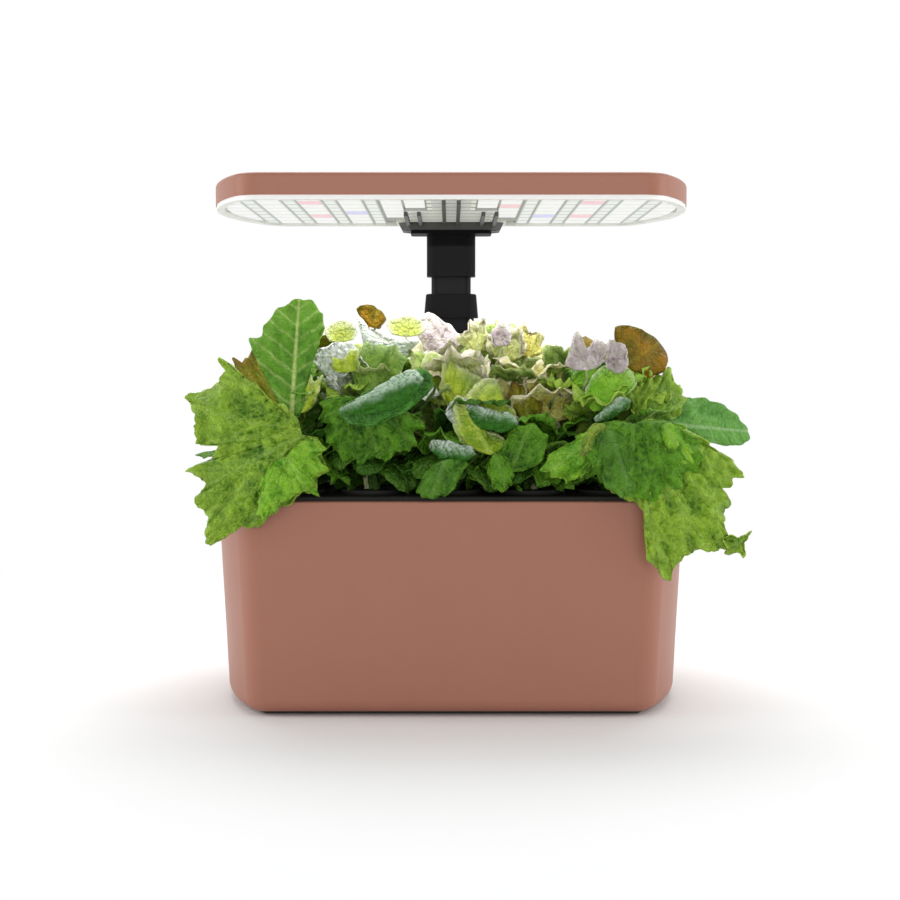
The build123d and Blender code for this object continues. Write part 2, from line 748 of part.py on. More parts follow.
# ---- lettuces: a plain canopy on a stem fills each pod's share of the space under the lamp
column_edges = [pod_pitch_x * (n - pod_columns / 2) for n in range(1, pod_columns)]
column_edges = [-canopy_left] + column_edges + [canopy_right]
row_edges = [-canopy_front, pod_centre_y, canopy_back]
stem_low = sponge_top + slide_gap
hang_low = rim_height - hang_depth
under_leaves = cup_top + leaf_gap
widest_height = lip_top + widest_rise
for number, (pod_x, pod_y) in enumerate(pod_spots, 1):
    column, row = (number - 1) % pod_columns, (number - 1) // pod_columns
    canopy_top = lip_top + (lamp_height - lip_top) * (front_shares, rear_shares)[row][column]
    left, right = column_edges[column] + leaf_gap / 2, column_edges[column + 1] - leaf_gap / 2
    front, back = row_edges[row] + leaf_gap / 2, row_edges[row + 1] - leaf_gap / 2
    hangs = row == 0 and column in (0, pod_columns - 1)
    if row == 0 and not hangs:
        front += canopy_overhang
    with BuildSketch() as cell:
        with Locations(((left + right) / 2, (front + back) / 2)):
            Rectangle(right - left, back - front)
        chamfer(cell.vertices(), canopy_corner)
    with BuildPart() as lettuce:
        with BuildSketch(Plane.XY.offset(widest_height)):
            add(cell.sketch)
        extrude(amount=canopy_top - widest_height, taper=canopy_taper)
        with BuildSketch(Plane.XY.offset(widest_height)):
            add(cell.sketch)
        extrude(amount=under_leaves - widest_height, taper=0 if hangs else under_taper)
        if hangs:
            add(slab(cell.sketch, hang_low, under_leaves))
            add(slab(outline(-leaf_gap), hang_low, under_leaves), mode=Mode.SUBTRACT)
        with BuildSketch(Plane.XY.offset(stem_low)):
            with Locations((pod_x, pod_y)):
                RegularPolygon(stem_radius, cup_sides)
        extrude(amount=widest_height - stem_low)
    lettuce.part.label = f"lettuce_{number}"
    export_step(lettuce.part, f"parts/lettuce_{number}.step")

# ---- mast: a fixed sleeve, a middle tube with a collar, and the lamp's own tube
middle_inner = slide_gap
middle_outer = middle_inner + tube_wall
sleeve_inner = middle_outer + slide_gap
sleeve_outer = sleeve_inner + sleeve_wall

with BuildPart() as mast_sleeve:
    add(slab(mast_section(sleeve_outer), flange_top, sleeve_top))
    with BuildSketch(Plane.XY.offset(flange_top)):
        with Locations((0, mast_y)):
            RectangleRounded(sleeve_foot_length, tube_depth + 2 * sleeve_outer, 5)
    extrude(amount=sleeve_foot + 1)
    add(slab(mast_section(sleeve_inner), flange_top, sleeve_top), mode=Mode.SUBTRACT)
    with Locations(*foot_screws):
        add(screw(screw_head_low, screw_top, pin_gap), mode=Mode.SUBTRACT)
mast_sleeve.part.label = "mast_sleeve"
export_step(mast_sleeve.part, "parts/mast_sleeve.step")


def mast_collar_form(low, high, around, grow, opening):
    """A flared collar round a tube's mouth: it caps the tube's edge and leaves the opening free."""
    with BuildPart() as collar:
        with BuildSketch(Plane.XY.offset(low)):
            add(mast_section(around + grow + collar_flare))
        extrude(amount=high - low, taper=degrees(atan(collar_flare / (high - low))))
        chamfer(collar.faces().sort_by(Axis.Z)[-1].edges(), 0.8)
        add(slab(mast_section(around + seat_gap), low, high - collar_cap), mode=Mode.SUBTRACT)
        add(slab(mast_section(opening), low, high), mode=Mode.SUBTRACT)
    return collar.part


with BuildPart() as sleeve_collar:
    add(mast_collar_form(deck_top, sleeve_top + collar_cap, sleeve_outer, sleeve_collar_grow, sleeve_inner))
sleeve_collar.part.label = "sleeve_collar"
export_step(sleeve_collar.part, "parts/sleeve_collar.step")

with BuildPart() as mast_middle:
    add(slab(mast_section(middle_outer), middle_bottom, middle_top))
    add(slab(mast_section(middle_inner), middle_bottom, middle_top), mode=Mode.SUBTRACT)
mast_middle.part.label = "mast_middle"
export_step(mast_middle.part, "parts/mast_middle.step")

with BuildPart() as mast_collar:
    add(mast_collar_form(collar_bottom, collar_top, middle_outer, middle_collar_grow, middle_inner))
mast_collar.part.label = "mast_collar"
export_step(mast_collar.part, "parts/mast_collar.step")

with BuildPart() as mast_top:
    add(slab(mast_section(0), top_tube_bottom, socket_top))
    add(slab(mast_section(-tube_wall), top_tube_bottom, socket_top), mode=Mode.SUBTRACT)
mast_top.part.label = "mast_top"
export_step(mast_top.part, "parts/mast_top.step")

# ---- head block: socket for the top tube, with a thin plate above it
with BuildPart() as head_block:
    add(slab(mast_section(block_wall), block_bottom, block_top))
    with BuildSketch(Plane.XY.offset(block_top)):
        with Locations((0, mast_y)):
            RectangleRounded(neck_plate_width, neck_plate_depth, 4)
    extrude(amount=neck_plate)
    add(slab(mast_section(seat_gap), block_bottom, socket_top), mode=Mode.SUBTRACT)
    with BuildSketch(Plane.XY.offset(socket_top)):
        with Locations((0, mast_y)):
            Circle(4)
    extrude(amount=block_top + neck_plate - socket_top, mode=Mode.SUBTRACT)
head_block.part.label = "head_block"
export_step(head_block.part, "parts/head_block.step")

# ---- bracket under the lamp: a tapered tray with six ribs that run forward
lamp_screw_spots = [(side * lamp_screw_x, y) for side in (-1, 1) for y in lamp_screw_ys]
lamp_screw_low = bracket_bottom + 1.2
lamp_screw_top = lamp_top - cover_wall - 2
bracket_middle = (bracket_front + bracket_back) / 2
with BuildPart() as head_bracket:
    for height, width in (
        (bracket_bottom, bracket_width - 2 * bracket_taper),
        (lamp_height, bracket_width),
    ):
        with BuildSketch(Plane.XY.offset(height)) as bracket_plan:
            with Locations((0, bracket_middle)):
                Rectangle(width, bracket_back - bracket_front)
            chamfer(bracket_plan.vertices(), 6)
    loft()
    with BuildSketch(Plane.XY.offset(bracket_bottom + bracket_wall)):
        with Locations((0, bracket_middle)):
            Rectangle(2 * lamp_screw_x - 10, bracket_back - bracket_front - 2 * bracket_wall)
    extrude(amount=bracket_height, mode=Mode.SUBTRACT)
    rib_plan = [(centre_rib_x, centre_rib_front)] + [(x, side_rib_front) for x in side_rib_xs]
    with BuildSketch(Plane.XY.offset(lamp_height - rib_height)):
        for rib_x, rib_front in rib_plan:
            rib_length = bracket_front + 1.5 - rib_front
            with Locations((-rib_x, rib_front + rib_length / 2), (rib_x, rib_front + rib_length / 2)):
                SlotOverall(rib_length, rib_width, rotation=90)
    extrude(amount=rib_height)
    with Locations(*lamp_screw_spots):
        add(screw(lamp_screw_low, lamp_screw_top, pin_gap), mode=Mode.SUBTRACT)
    with BuildSketch(Plane.XY.offset(bracket_bottom)):
        with Locations(*lamp_screw_spots):
            Circle(screw_head_radius + pin_gap)
        with Locations((0, mast_y)):
            Circle(4)
    extrude(amount=lamp_screw_low - bracket_bottom, mode=Mode.SUBTRACT)
head_bracket.part.label = "head_bracket"
export_step(head_bracket.part, "parts/head_bracket.step")

# ---- lamp cover: a shallow shell with vent slots and four bosses for the bracket's screws
with BuildPart() as lamp_cover:
    add(slab(outline(0), cover_bottom, lamp_top))
    fillet(lamp_cover.faces().sort_by(Axis.Z)[-1].edges(), cover_round)
    add(slab(outline(cover_wall), cover_bottom, lamp_top - cover_wall), mode=Mode.SUBTRACT)
    with BuildSketch(Plane.XY.offset(lamp_top - cover_wall)):
        with Locations((-vent_x, vent_y), (vent_x, vent_y)):
            with GridLocations(vent_pitch, 0, vent_slots, 1):
                Rectangle(vent_width, vent_length)
    extrude(amount=cover_wall, mode=Mode.SUBTRACT)
    with BuildSketch(Plane.XY.offset(board_top)):
        with Locations(*lamp_screw_spots):
            Circle(boss_radius)
    extrude(amount=lamp_top - cover_wall - board_top)
    with Locations(*lamp_screw_spots):
        add(screw(lamp_screw_low, lamp_screw_top, pin_gap), mode=Mode.SUBTRACT)
lamp_cover.part.label = "lamp_cover"
export_step(lamp_cover.part, "parts/lamp_cover.step")

# ---- white rim: the ring seen under the cover, a tenon inside it and a pad over the bracket
pad_length = bracket_width + 3
pad_front = 58
pad_back = garden_depth / 2 - rim_ring + 1
tenon_inset = cover_wall + slide_gap
with BuildPart() as lamp_rim:
    add(slab(outline(rim_set_back), lamp_height, cover_bottom))
    add(slab(outline(rim_ring), lamp_height, cover_bottom), mode=Mode.SUBTRACT)
    add(slab(outline(tenon_inset), cover_bottom, cover_bottom + rim_tenon))
    add(slab(outline(tenon_inset + 2), cover_bottom, cover_bottom + rim_tenon), mode=Mode.SUBTRACT)
    with BuildSketch(Plane.XY.offset(lamp_height)):
        with Locations((0, (pad_front + pad_back) / 2)):
            Rectangle(pad_length, pad_back - pad_front)
    extrude(amount=rim_height_lamp)
    with Locations(*lamp_screw_spots):
        add(screw(lamp_screw_low, lamp_screw_top, pin_gap), mode=Mode.SUBTRACT)
lamp_rim.part.label = "lamp_rim"
export_step(lamp_rim.part, "parts/lamp_rim.step")

with BuildPart() as led_board:
    add(slab(outline(tenon_inset + 2 + slide_gap), cover_bottom, board_top))
    with Locations(*lamp_screw_spots):
        add(screw(lamp_screw_low, lamp_screw_top, pin_gap), mode=Mode.SUBTRACT)
led_board.part.label = "led_board"
export_step(led_board.part, "parts/led_board.step")

# ---- lens cells in columns that run from front to rear, the same on both sides
columns = [(x, inner_lens, rows) for x, rows in inner_columns]
for index in range(4):
    narrow_x = first_narrow_x + column_pitch * index
    columns += [(narrow_x, narrow_lens, lens_rows), (narrow_x + column_pitch / 2, wide_lens, lens_rows)]
red_cells = [(-1, 5, 1), (-1, 5, 5), (1, 1, 2), (1, 5, 1), (1, 5, 5)]  # side, column, row
blue_cells = [(-1, 3, 4), (1, 3, 5)]
white_cells = [
    (side, column, row)
    for side in (-1, 1)
    for column, (column_x, width, rows) in enumerate(columns)
    for row in range(rows)
    if (side, column, row) not in red_cells + blue_cells
]

for label, cells in (("white_lenses", white_cells), ("red_lenses", red_cells), ("blue_lenses", blue_cells)):
    with BuildPart() as lenses:
        with BuildSketch(Plane.XY.offset(cover_bottom - lens_drop)):
            for side, column, row in cells:
                column_x, width, rows = columns[column]
                with Locations((side * column_x, row_pitch * (row - (lens_rows - 1) / 2))):
                    Rectangle(width, row_pitch - lens_groove)
            add(outline(rim_ring + 1), mode=Mode.INTERSECT)
        extrude(amount=lens_drop)
    lenses.part.label = label
    export_step(lenses.part, f"parts/{label}.step")

# ---- slatted panel in the middle, that the ribs run across
with BuildPart() as centre_grille:
    grille_front = -(garden_depth / 2 - rim_ring - 0.6)
    wing_front = side_rib_front - 1
    with BuildSketch(Plane.XY.offset(lamp_height)) as grille_plan:
        with Locations((0, (grille_front + pad_front) / 2)):
            Rectangle(grille_width, pad_front - grille_front)
        with Locations((0, (wing_front + pad_front) / 2)):
            Rectangle(2 * grille_wing, pad_front - wing_front)
    extrude(amount=rim_height_lamp)
    slot_count = int((pad_front - grille_front) / grille_pitch)
    with BuildSketch(Plane.XY.offset(lamp_height)):
        for index in range(slot_count):
            slot_y = pad_front - grille_pitch * (index + 0.5)
            half = grille_wing if slot_y > wing_front + grille_bar else grille_width / 2
            with Locations((0, slot_y)):
                Rectangle(2 * half - 2 * grille_bar, grille_pitch - grille_bar)
    extrude(amount=rim_height_lamp - 0.8, mode=Mode.SUBTRACT)
centre_grille.part.label = "centre_grille"
export_step(centre_grille.part, "parts/centre_grille.step")

# ---- inside the lamp: finned heat sink and driver board
sink_length, sink_depth = 250, 100
sink_base = 1.5
fin_count = 13
fin_height = 6
with BuildPart() as heat_sink:
    with BuildSketch(Plane.XY.offset(board_top)):
        with Locations((0, -sink_depth / 4)):
            Rectangle(sink_length, sink_depth)
    extrude(amount=sink_base)
    with BuildSketch(Plane.XY.offset(board_top + sink_base)):
        with Locations((0, -sink_depth / 4)):
            with GridLocations(0, sink_depth / fin_count, 1, fin_count):
                Rectangle(sink_length, 1.4)
    extrude(amount=fin_height)
heat_sink.part.label = "heat_sink"
export_step(heat_sink.part, "parts/heat_sink.step")

with BuildPart() as lamp_driver:
    with BuildSketch(Plane.XY.offset(board_top)):
        with Locations((84, 62)):
            Rectangle(70, 24)
    extrude(amount=1.6)
    with BuildSketch(Plane.XY.offset(board_top + 1.6)):
        with Locations((66, 62)):
            Rectangle(18, 16)
        with Locations((86, 66), (98, 58)):
            Circle(4)
    extrude(amount=6)
lamp_driver.part.label = "lamp_driver"
export_step(lamp_driver.part, "parts/lamp_driver.step")

with BuildPart() as lamp_screws:
    with Locations(*lamp_screw_spots):
        add(screw(lamp_screw_low, lamp_screw_top, 0))
lamp_screws.part.label = "lamp_screws"
export_step(lamp_screws.part, "parts/lamp_screws.step")
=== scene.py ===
import math
import random

import bpy
from mathutils import Matrix, Vector, noise


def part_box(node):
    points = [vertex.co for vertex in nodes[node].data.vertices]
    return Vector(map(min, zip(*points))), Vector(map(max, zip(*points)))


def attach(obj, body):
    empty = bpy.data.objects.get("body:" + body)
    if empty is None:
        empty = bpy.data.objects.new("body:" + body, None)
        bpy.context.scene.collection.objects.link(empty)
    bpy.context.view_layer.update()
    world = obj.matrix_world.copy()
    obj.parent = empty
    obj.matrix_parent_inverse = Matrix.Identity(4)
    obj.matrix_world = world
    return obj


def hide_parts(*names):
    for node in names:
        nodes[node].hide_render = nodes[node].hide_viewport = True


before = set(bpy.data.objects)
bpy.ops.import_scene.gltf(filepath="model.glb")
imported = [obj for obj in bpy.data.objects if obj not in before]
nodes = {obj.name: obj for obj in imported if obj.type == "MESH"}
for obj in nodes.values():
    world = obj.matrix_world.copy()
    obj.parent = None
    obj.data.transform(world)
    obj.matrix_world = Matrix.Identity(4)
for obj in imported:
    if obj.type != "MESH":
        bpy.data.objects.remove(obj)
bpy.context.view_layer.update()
mm = 0.001
print("garden: frame loaded")


# shader maths: a wrapped socket adds Math nodes when it meets an operator
class Value:
    def __init__(self, tree, socket):
        self.tree = tree
        self.socket = socket

    def maths(self, operation, *others):
        node = self.tree.nodes.new("ShaderNodeMath")
        node.operation = operation
        for slot, item in zip(node.inputs, (self, *others)):
            if isinstance(item, Value):
                self.tree.links.new(item.socket, slot)
            else:
                slot.default_value = item
        return Value(self.tree, node.outputs[0])

    def __add__(self, other):
        return self.maths("ADD", other)

    __radd__ = __add__

    def __mul__(self, other):
        return self.maths("MULTIPLY", other)

    __rmul__ = __mul__

    def __sub__(self, other):
        return self.maths("SUBTRACT", other)

    def __rsub__(self, other):
        return (self * -1) + other

    def __truediv__(self, other):
        return self.maths("DIVIDE", other)

    def __pow__(self, other):
        return self.maths("POWER", other)

    def sine(self):
        return self.maths("SINE")

    def size(self):
        return self.maths("ABSOLUTE")

    def whole(self):
        return self.maths("ROUND")

    def above(self, limit):
        return self.maths("GREATER_THAN", limit)

    def below(self, limit):
        return self.maths("LESS_THAN", limit)


# a material whose nodes are added one by one
class Finish:
    def __init__(self, name, **fixed):
        self.material = bpy.data.materials.new(name)
        self.material.use_nodes = True
        self.tree = self.material.node_tree
        self.shader = self.tree.nodes["Principled BSDF"]
        self.set(self.shader, fixed)

    def set(self, node, inputs):
        for name, item in inputs.items():
            slot = node.inputs[name]
            if isinstance(item, Value):
                self.tree.links.new(item.socket, slot)
            elif isinstance(item, tuple) and len(item) == 3 and len(slot.default_value) == 4:
                slot.default_value = (*item, 1)
            else:
                slot.default_value = item

    def add(self, kind, output=0, settings=None, **inputs):
        node = self.tree.nodes.new("ShaderNode" + kind)
        for name, item in (settings or {}).items():
            setattr(node, name, item)
        self.set(node, {name.replace("_", " "): item for name, item in inputs.items()})
        return Value(self.tree, node.outputs[output])

    def mix(self, factor, low, high):
        node = self.tree.nodes.new("ShaderNodeMix")
        node.data_type = "RGBA"
        for index, item in ((0, factor), (6, low), (7, high)):
            slot = node.inputs[index]
            if isinstance(item, Value):
                self.tree.links.new(item.socket, slot)
            else:
                slot.default_value = (*item, 1) if isinstance(item, tuple) else item
        return Value(self.tree, node.outputs[2])

    def place(self):
        return self.add("TexCoord", output=3)  # Object coordinates

    def axes(self, vector):
        node = self.tree.nodes.new("ShaderNodeSeparateXYZ")
        self.tree.links.new(vector.socket, node.inputs[0])
        return [Value(self.tree, output) for output in node.outputs]

    def grain(self, scale, detail=2.0, roughness=0.5, at=None):
        return self.add("TexNoise", 0, {"noise_dimensions": "3D"}, Vector=at or self.place(), Scale=scale,
                        Detail=detail, Roughness=roughness)

    def smooth(self, value, low, high):
        return self.add("MapRange", 0, {"interpolation_type": "SMOOTHSTEP"}, Value=value, From_Min=low,
                        From_Max=high)

    def bump(self, height, depth, strength=1.0):
        normal = self.add("Bump", 0, None, Height=height, Distance=depth, Strength=strength)
        self.set(self.shader, {"Normal": normal})

    def finish(self, **inputs):
        self.set(self.shader, {name.replace("_", " "): item for name, item in inputs.items()})
        return self.material


def dress(material, *names):
    for name in names:
        piece = nodes[name]
        piece.data.materials.clear()
        piece.data.materials.append(material)


# moulded plastics and rubber: what each is like, and the pieces made of it
mouldedLook = {"index": 1.48, "cloud": 28, "sparks": 1500, "drift": 0.05, "sheen": 0.5}
plastics = {
    "terracottaPlastic": {"colour": (0.345, 0.145, 0.098), "rough": 0.42, "grain": 0.00006, "drift": 0.025,
                          "sheen": 0.3, "on": ("tub_shell", "lamp_cover")},
    "deckPlastic": {"colour": (0.022, 0.021, 0.018), "rough": 0.7, "grain": 0.00008, "sheen": 0.04,
                    "on": ("grow_deck", "service_deck", "fill_flap")},
    "cupPlastic": {"colour": (0.035, 0.036, 0.033), "rough": 0.55, "grain": 0.00006, "sheen": 0.08,
                   "on": [f"net_cup_{number}" for number in range(1, 11)]},
    "tankPlastic": {"colour": (0.02, 0.02, 0.021), "rough": 0.4, "grain": 0.00005,
                    "on": ("water_tank", "base_plate", "dc_jack")},
    "collarPlastic": {"colour": (0.004, 0.004, 0.0045), "rough": 0.5, "grain": 0.00005, "sheen": 0.06,
                      "on": ("sleeve_collar", "mast_collar", "mast_sleeve", "head_block", "gauge_bezel")},
    "bracketPlastic": {"colour": (0.07, 0.07, 0.068), "rough": 0.5, "grain": 0.00006,
                       "on": ("head_bracket",)},
    "pumpPlastic": {"colour": (0.02, 0.02, 0.022), "rough": 0.45, "grain": 0.00004,
                    "on": ("pump_housing", "pump_strainer", "impeller")},
    "buttonPlastic": {"colour": (0.05, 0.05, 0.048), "rough": 0.4, "grain": 0.00004,
                      "on": ("light_button", "mode_button", "pump_button")},
    "rimPlastic": {"colour": (0.86, 0.85, 0.83), "rough": 0.35, "grain": 0.00003, "drift": 0.01,
                   "on": ("lamp_rim",)},
    "gaugePlastic": {"colour": (0.75, 0.16, 0.03), "rough": 0.25, "grain": 0.00002, "on": ("gauge_stem",)},
    "footRubber": {"colour": (0.02, 0.016, 0.014), "rough": 0.75, "grain": 0.0001, "on": ("foot_ring",)},
}


# a fine spark-eroded texture and a slow drift in tone
def mouldedPlastic(name, own):
    own = {**mouldedLook, **own}
    look = Finish(name, **{"IOR": own["index"], "Specular IOR Level": own["sheen"]})
    cloud = look.grain(own["cloud"], 3)
    look.bump(look.grain(own["sparks"], 2, 0.6), own["grain"], 0.5)
    low = tuple(c * (1 - own["drift"]) for c in own["colour"])
    high = tuple(min(1, c * (1 + own["drift"])) for c in own["colour"])
    return look.finish(Base_Color=look.mix(cloud, low, high), Roughness=cloud * 0.08 + (own["rough"] - 0.04))


for name, own in plastics.items():
    dress(mouldedPlastic(name, own), *own["on"])


# tubes, metals, boards and foam
def drawnTube(name, colour):
    look = Finish(name, **{"IOR": 1.5, "Specular IOR Level": 0.08})
    x, y = look.axes(look.place())[:2]
    streaks = look.add("TexNoise", 0, {"noise_dimensions": "1D"}, W=x * 900 + y * 700, Scale=1.0,
                       Detail=3.0)
    look.bump(streaks, 0.00002, 0.4)
    return look.finish(Base_Color=look.mix(streaks, colour, tuple(c * 1.5 for c in colour)),
                       Roughness=streaks * 0.12 + 0.3)


def brushedMetal(name, colour, rough):
    look = Finish(name, **{"Metallic": 1.0})
    speckle = look.grain(900, 3)
    look.bump(speckle, 0.00003, 0.3)
    return look.finish(Base_Color=look.mix(speckle, colour, tuple(c * 0.8 for c in colour)),
                       Roughness=speckle * 0.2 + rough)


def circuitBoard(name, colour, copper):
    look = Finish(name, **{"IOR": 1.5, "Specular IOR Level": 0.1})
    tracks = look.add("TexBrick", 1, {"offset": 0.5}, Vector=look.place(), Scale=120.0, Mortar_Size=0.05)
    return look.finish(Base_Color=look.mix(tracks, colour, copper), Roughness=0.35)


def openFoam(name, colour, cell):
    look = Finish(name)
    cells = look.add("TexVoronoi", 0, None, Vector=look.place(), Scale=cell)
    look.bump(cells, 0.0006, 0.8)
    return look.finish(Base_Color=look.mix(cells, tuple(c * 0.45 for c in colour), colour), Roughness=0.9)


dress(drawnTube("mastTube", (0.0035, 0.0035, 0.004)), "mast_middle", "mast_top")
dress(brushedMetal("platedSteel", (0.6, 0.6, 0.61), 0.25), "base_screws", "lamp_screws", "flap_pin",
      "pump_shaft")
dress(brushedMetal("millAluminium", (0.72, 0.72, 0.73), 0.35), "heat_sink")
dress(circuitBoard("greenBoard", (0.01, 0.09, 0.035), (0.03, 0.16, 0.06)), "control_board", "lamp_driver")
dress(circuitBoard("whiteBoard", (0.42, 0.42, 0.40), (0.36, 0.36, 0.35)), "led_board")
dress(openFoam("sponge", (0.06, 0.04, 0.022), 420), "grow_sponges")
dress(openFoam("floatFoam", (0.8, 0.78, 0.72), 700), "gauge_float")


# diffusing lenses over the diodes, greyer in the narrow columns and along the edges of each column, with
# painted shade lines between the rows
lensLook = {
    "white": ((0.70, 0.70, 0.69), (0.84, 0.84, 0.83)),
    "red": ((0.74, 0.44, 0.50), (0.84, 0.56, 0.60)),
    "blue": ((0.50, 0.50, 0.74), (0.60, 0.60, 0.84)),
}
lensColumns = {"start": 0.046, "firstNarrow": 0.0525, "pitch": 0.0264, "narrow": 0.0034, "wide": 0.0059,
               "line": (0.44, 0.46, 0.44), "tint": (0.68, 0.71, 0.68), "tinted": 0.8, "cloud": 130,
               "body": (0.2, 0.2, 0.2)}
# painted shade lines between the rows: pitch, width, and strength in the narrow columns and everywhere
lensRowShade = {"pitch": 0.0225, "gap": 0.0024, "slim": 0.6, "all": 0.3}


def rowShadeLines(along):
    row = along / lensRowShade["pitch"]
    return ((row - row.whole()).size() * lensRowShade["pitch"]).below(lensRowShade["gap"])


def litLens(name, edge, middle):
    look = Finish(name, **{"Emission Strength": 1.0, "Roughness": 0.8, "Specular IOR Level": 0.0})
    across, along = look.axes(look.place())[:2]
    across = across.size()
    turn = (across - lensColumns["firstNarrow"]) / lensColumns["pitch"]
    aside = (turn - turn.whole()).size() * lensColumns["pitch"]
    outer = across.above(lensColumns["start"])
    line = aside.above(lensColumns["narrow"]) * aside.below(lensColumns["wide"]) * outer
    slim = aside.below(lensColumns["narrow"]) * outer
    glow = look.mix(look.grain(lensColumns["cloud"], 1), edge, middle)
    glow = look.mix(slim * lensColumns["tinted"], glow, lensColumns["tint"])
    # painted shade lines between the rows, stronger in the narrow columns
    glow = look.mix(rowShadeLines(along) * (slim * lensRowShade["slim"] + lensRowShade["all"]), glow, lensColumns["line"])
    glow = look.mix(line, glow, lensColumns["line"])
    return look.finish(Base_Color=lensColumns["body"], Emission_Color=glow)


# painted shade: the slot colour darkens the slots and the lines between the rows; the glow is painted light
# on a panel that is no lamp
grilleLook = {"bar": (0.62, 0.62, 0.6), "slot": (0.07, 0.07, 0.065), "deep": 0.0003, "glow": 0.35,
              "cloud": 160, "shade": 0.5, "rows": 0.85}


# the slatted panel is bright on its bars, with painted shade in its slots and between the rows, and a faint
# painted glow
def slattedPanel(name, bottom):
    look = Finish(name, **{"Roughness": 0.5, "Specular IOR Level": 0.2,
                           "Emission Strength": grilleLook["glow"]})
    along, up = look.axes(look.place())[1:]
    bright = tuple(c * 1.1 for c in grilleLook["bar"])
    bar = look.mix(look.grain(grilleLook["cloud"]), grilleLook["bar"], bright)
    # painted shade on the slot walls, above the panel's bottom
    shaded = look.mix((up - bottom).above(grilleLook["deep"]) * grilleLook["shade"], bar, grilleLook["slot"])
    # painted shade lines between the rows
    rowShaded = look.mix(rowShadeLines(along) * grilleLook["rows"], shaded, grilleLook["slot"])
    # the glow takes the panel's shaded colours: painted light
    return look.finish(Base_Color=rowShaded, Emission_Color=rowShaded)


dress(slattedPanel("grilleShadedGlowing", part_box("centre_grille")[0].z), "centre_grille")
for colour, (edge, middle) in lensLook.items():
    dress(litLens(colour + "Lens", edge, middle), colour + "_lenses")
print("garden: moulded and metal pieces finished")


def deselect():
    bpy.ops.object.select_all(action="DESELECT")


# leaf skins: pale ribs, fanning or feathered veins, tinted edges and puckered cells, with painted light on
# the relief's crests and the upper margins, and painted shade in its hollows, in the cells' middles and on
# the crumples
leafLook = {"veins": 74.0, "fanVeins": 21.0, "cells": 230.0, "wander": 210.0, "wandering": 0.005,
            "cellShade": 2.1, "drift": 55, "bend": 130, "fine": 620, "netWidth": 0.12,
            "ribWidth": (0.024, 0.008), "middle": 0.44}
# the edge mark is the margin's tint, with painted light on the upper margins; the last mark is the relief's
# height, for painted light on crests and painted shade in hollows
bladeMarks = ("edge", "tone", "reliefShade")  # what each point of a blade carries


def leafSkin(name, dark, light, marginTintAndLight, rib, fan=0.0, vein=0.3, spine=0.3, veins=leafLook["veins"],
             slant=0.75, stray=0.05, lace=0.5, under=None, pucker=0.0014, gloss=0.38, edgePower=5.0):
    look = Finish(name, IOR=1.42)
    look.set(look.shader, {"Specular IOR Level": 0.22, "Subsurface Weight": 0.1, "Subsurface Scale": 0.003,
                           "Subsurface Radius": (0.7, 1.0, 0.25)})
    s, t = look.axes(look.add("UVMap"))[:2]
    edge, tone, reliefShade = (look.add("Attribute", 2, {"attribute_name": mark}) for mark in bladeMarks)
    drift = look.grain(leafLook["drift"], 4, 0.6) - 0.5
    bend = look.grain(leafLook["bend"]) - 0.5
    spread = t.size()
    feather = (s - spread * slant + bend * stray) * veins
    fanned = (t.maths("ARCTAN2", s + 0.03) + bend * 0.3) * leafLook["fanVeins"]
    branches = ((fanned * fan + feather * (1 - fan)).sine() * 0.5 + 0.5) ** 7 * (drift * 2.5 + 0.8)
    outer, inner = leafLook["ribWidth"]
    midrib = look.smooth(spread + s * 0.012, outer, inner)
    wander = look.add("TexNoise", 1, {"noise_dimensions": "3D"}, Vector=look.place(),
                      Scale=leafLook["wander"])
    cells = look.add("TexVoronoi", 0, {"feature": "DISTANCE_TO_EDGE"}, Scale=leafLook["cells"],
                     Vector=look.mix(leafLook["wandering"], look.place(), wander))
    # fine crumples: a relief, and painted light and shade that follow it
    fine = look.grain(leafLook["fine"], 3, 0.65) - 0.5
    net = look.smooth(cells, leafLook["netWidth"], 0.0)
    pale = (branches * vein).maths("MAXIMUM", net * (vein * lace))
    # painted shade in the middle of each cell
    cellShade = (cells - 0.2) * (lace * leafLook["cellShade"])
    # painted light and shade: crests and the crumples' rises lighter, the cells' middles and the hollows
    # darker, over the random drift and tone
    toneAndShade = drift * 1.5 + tone * 0.5 + reliefShade * 0.6 + fine * 0.7 - cellShade + leafLook["middle"]
    # the margin's own tint; on most skins it is lighter, painted light on the margins
    tinted = look.mix(edge ** edgePower, look.mix(toneAndShade, dark, light), marginTintAndLight)
    veined = look.mix(pale, tinted, rib)
    if under:  # past the midrib the blade's green face shows
        veined = look.mix(look.smooth(t + bend * 0.1, -0.03, 0.05), under, veined)
    look.bump(cells ** 0.5 * 1.1 + fine * 0.5 - branches * 0.4 - midrib * 0.4, pucker)
    return look.finish(Base_Color=look.mix(midrib * spine, veined, rib), Roughness=drift * 0.3 + gloss)


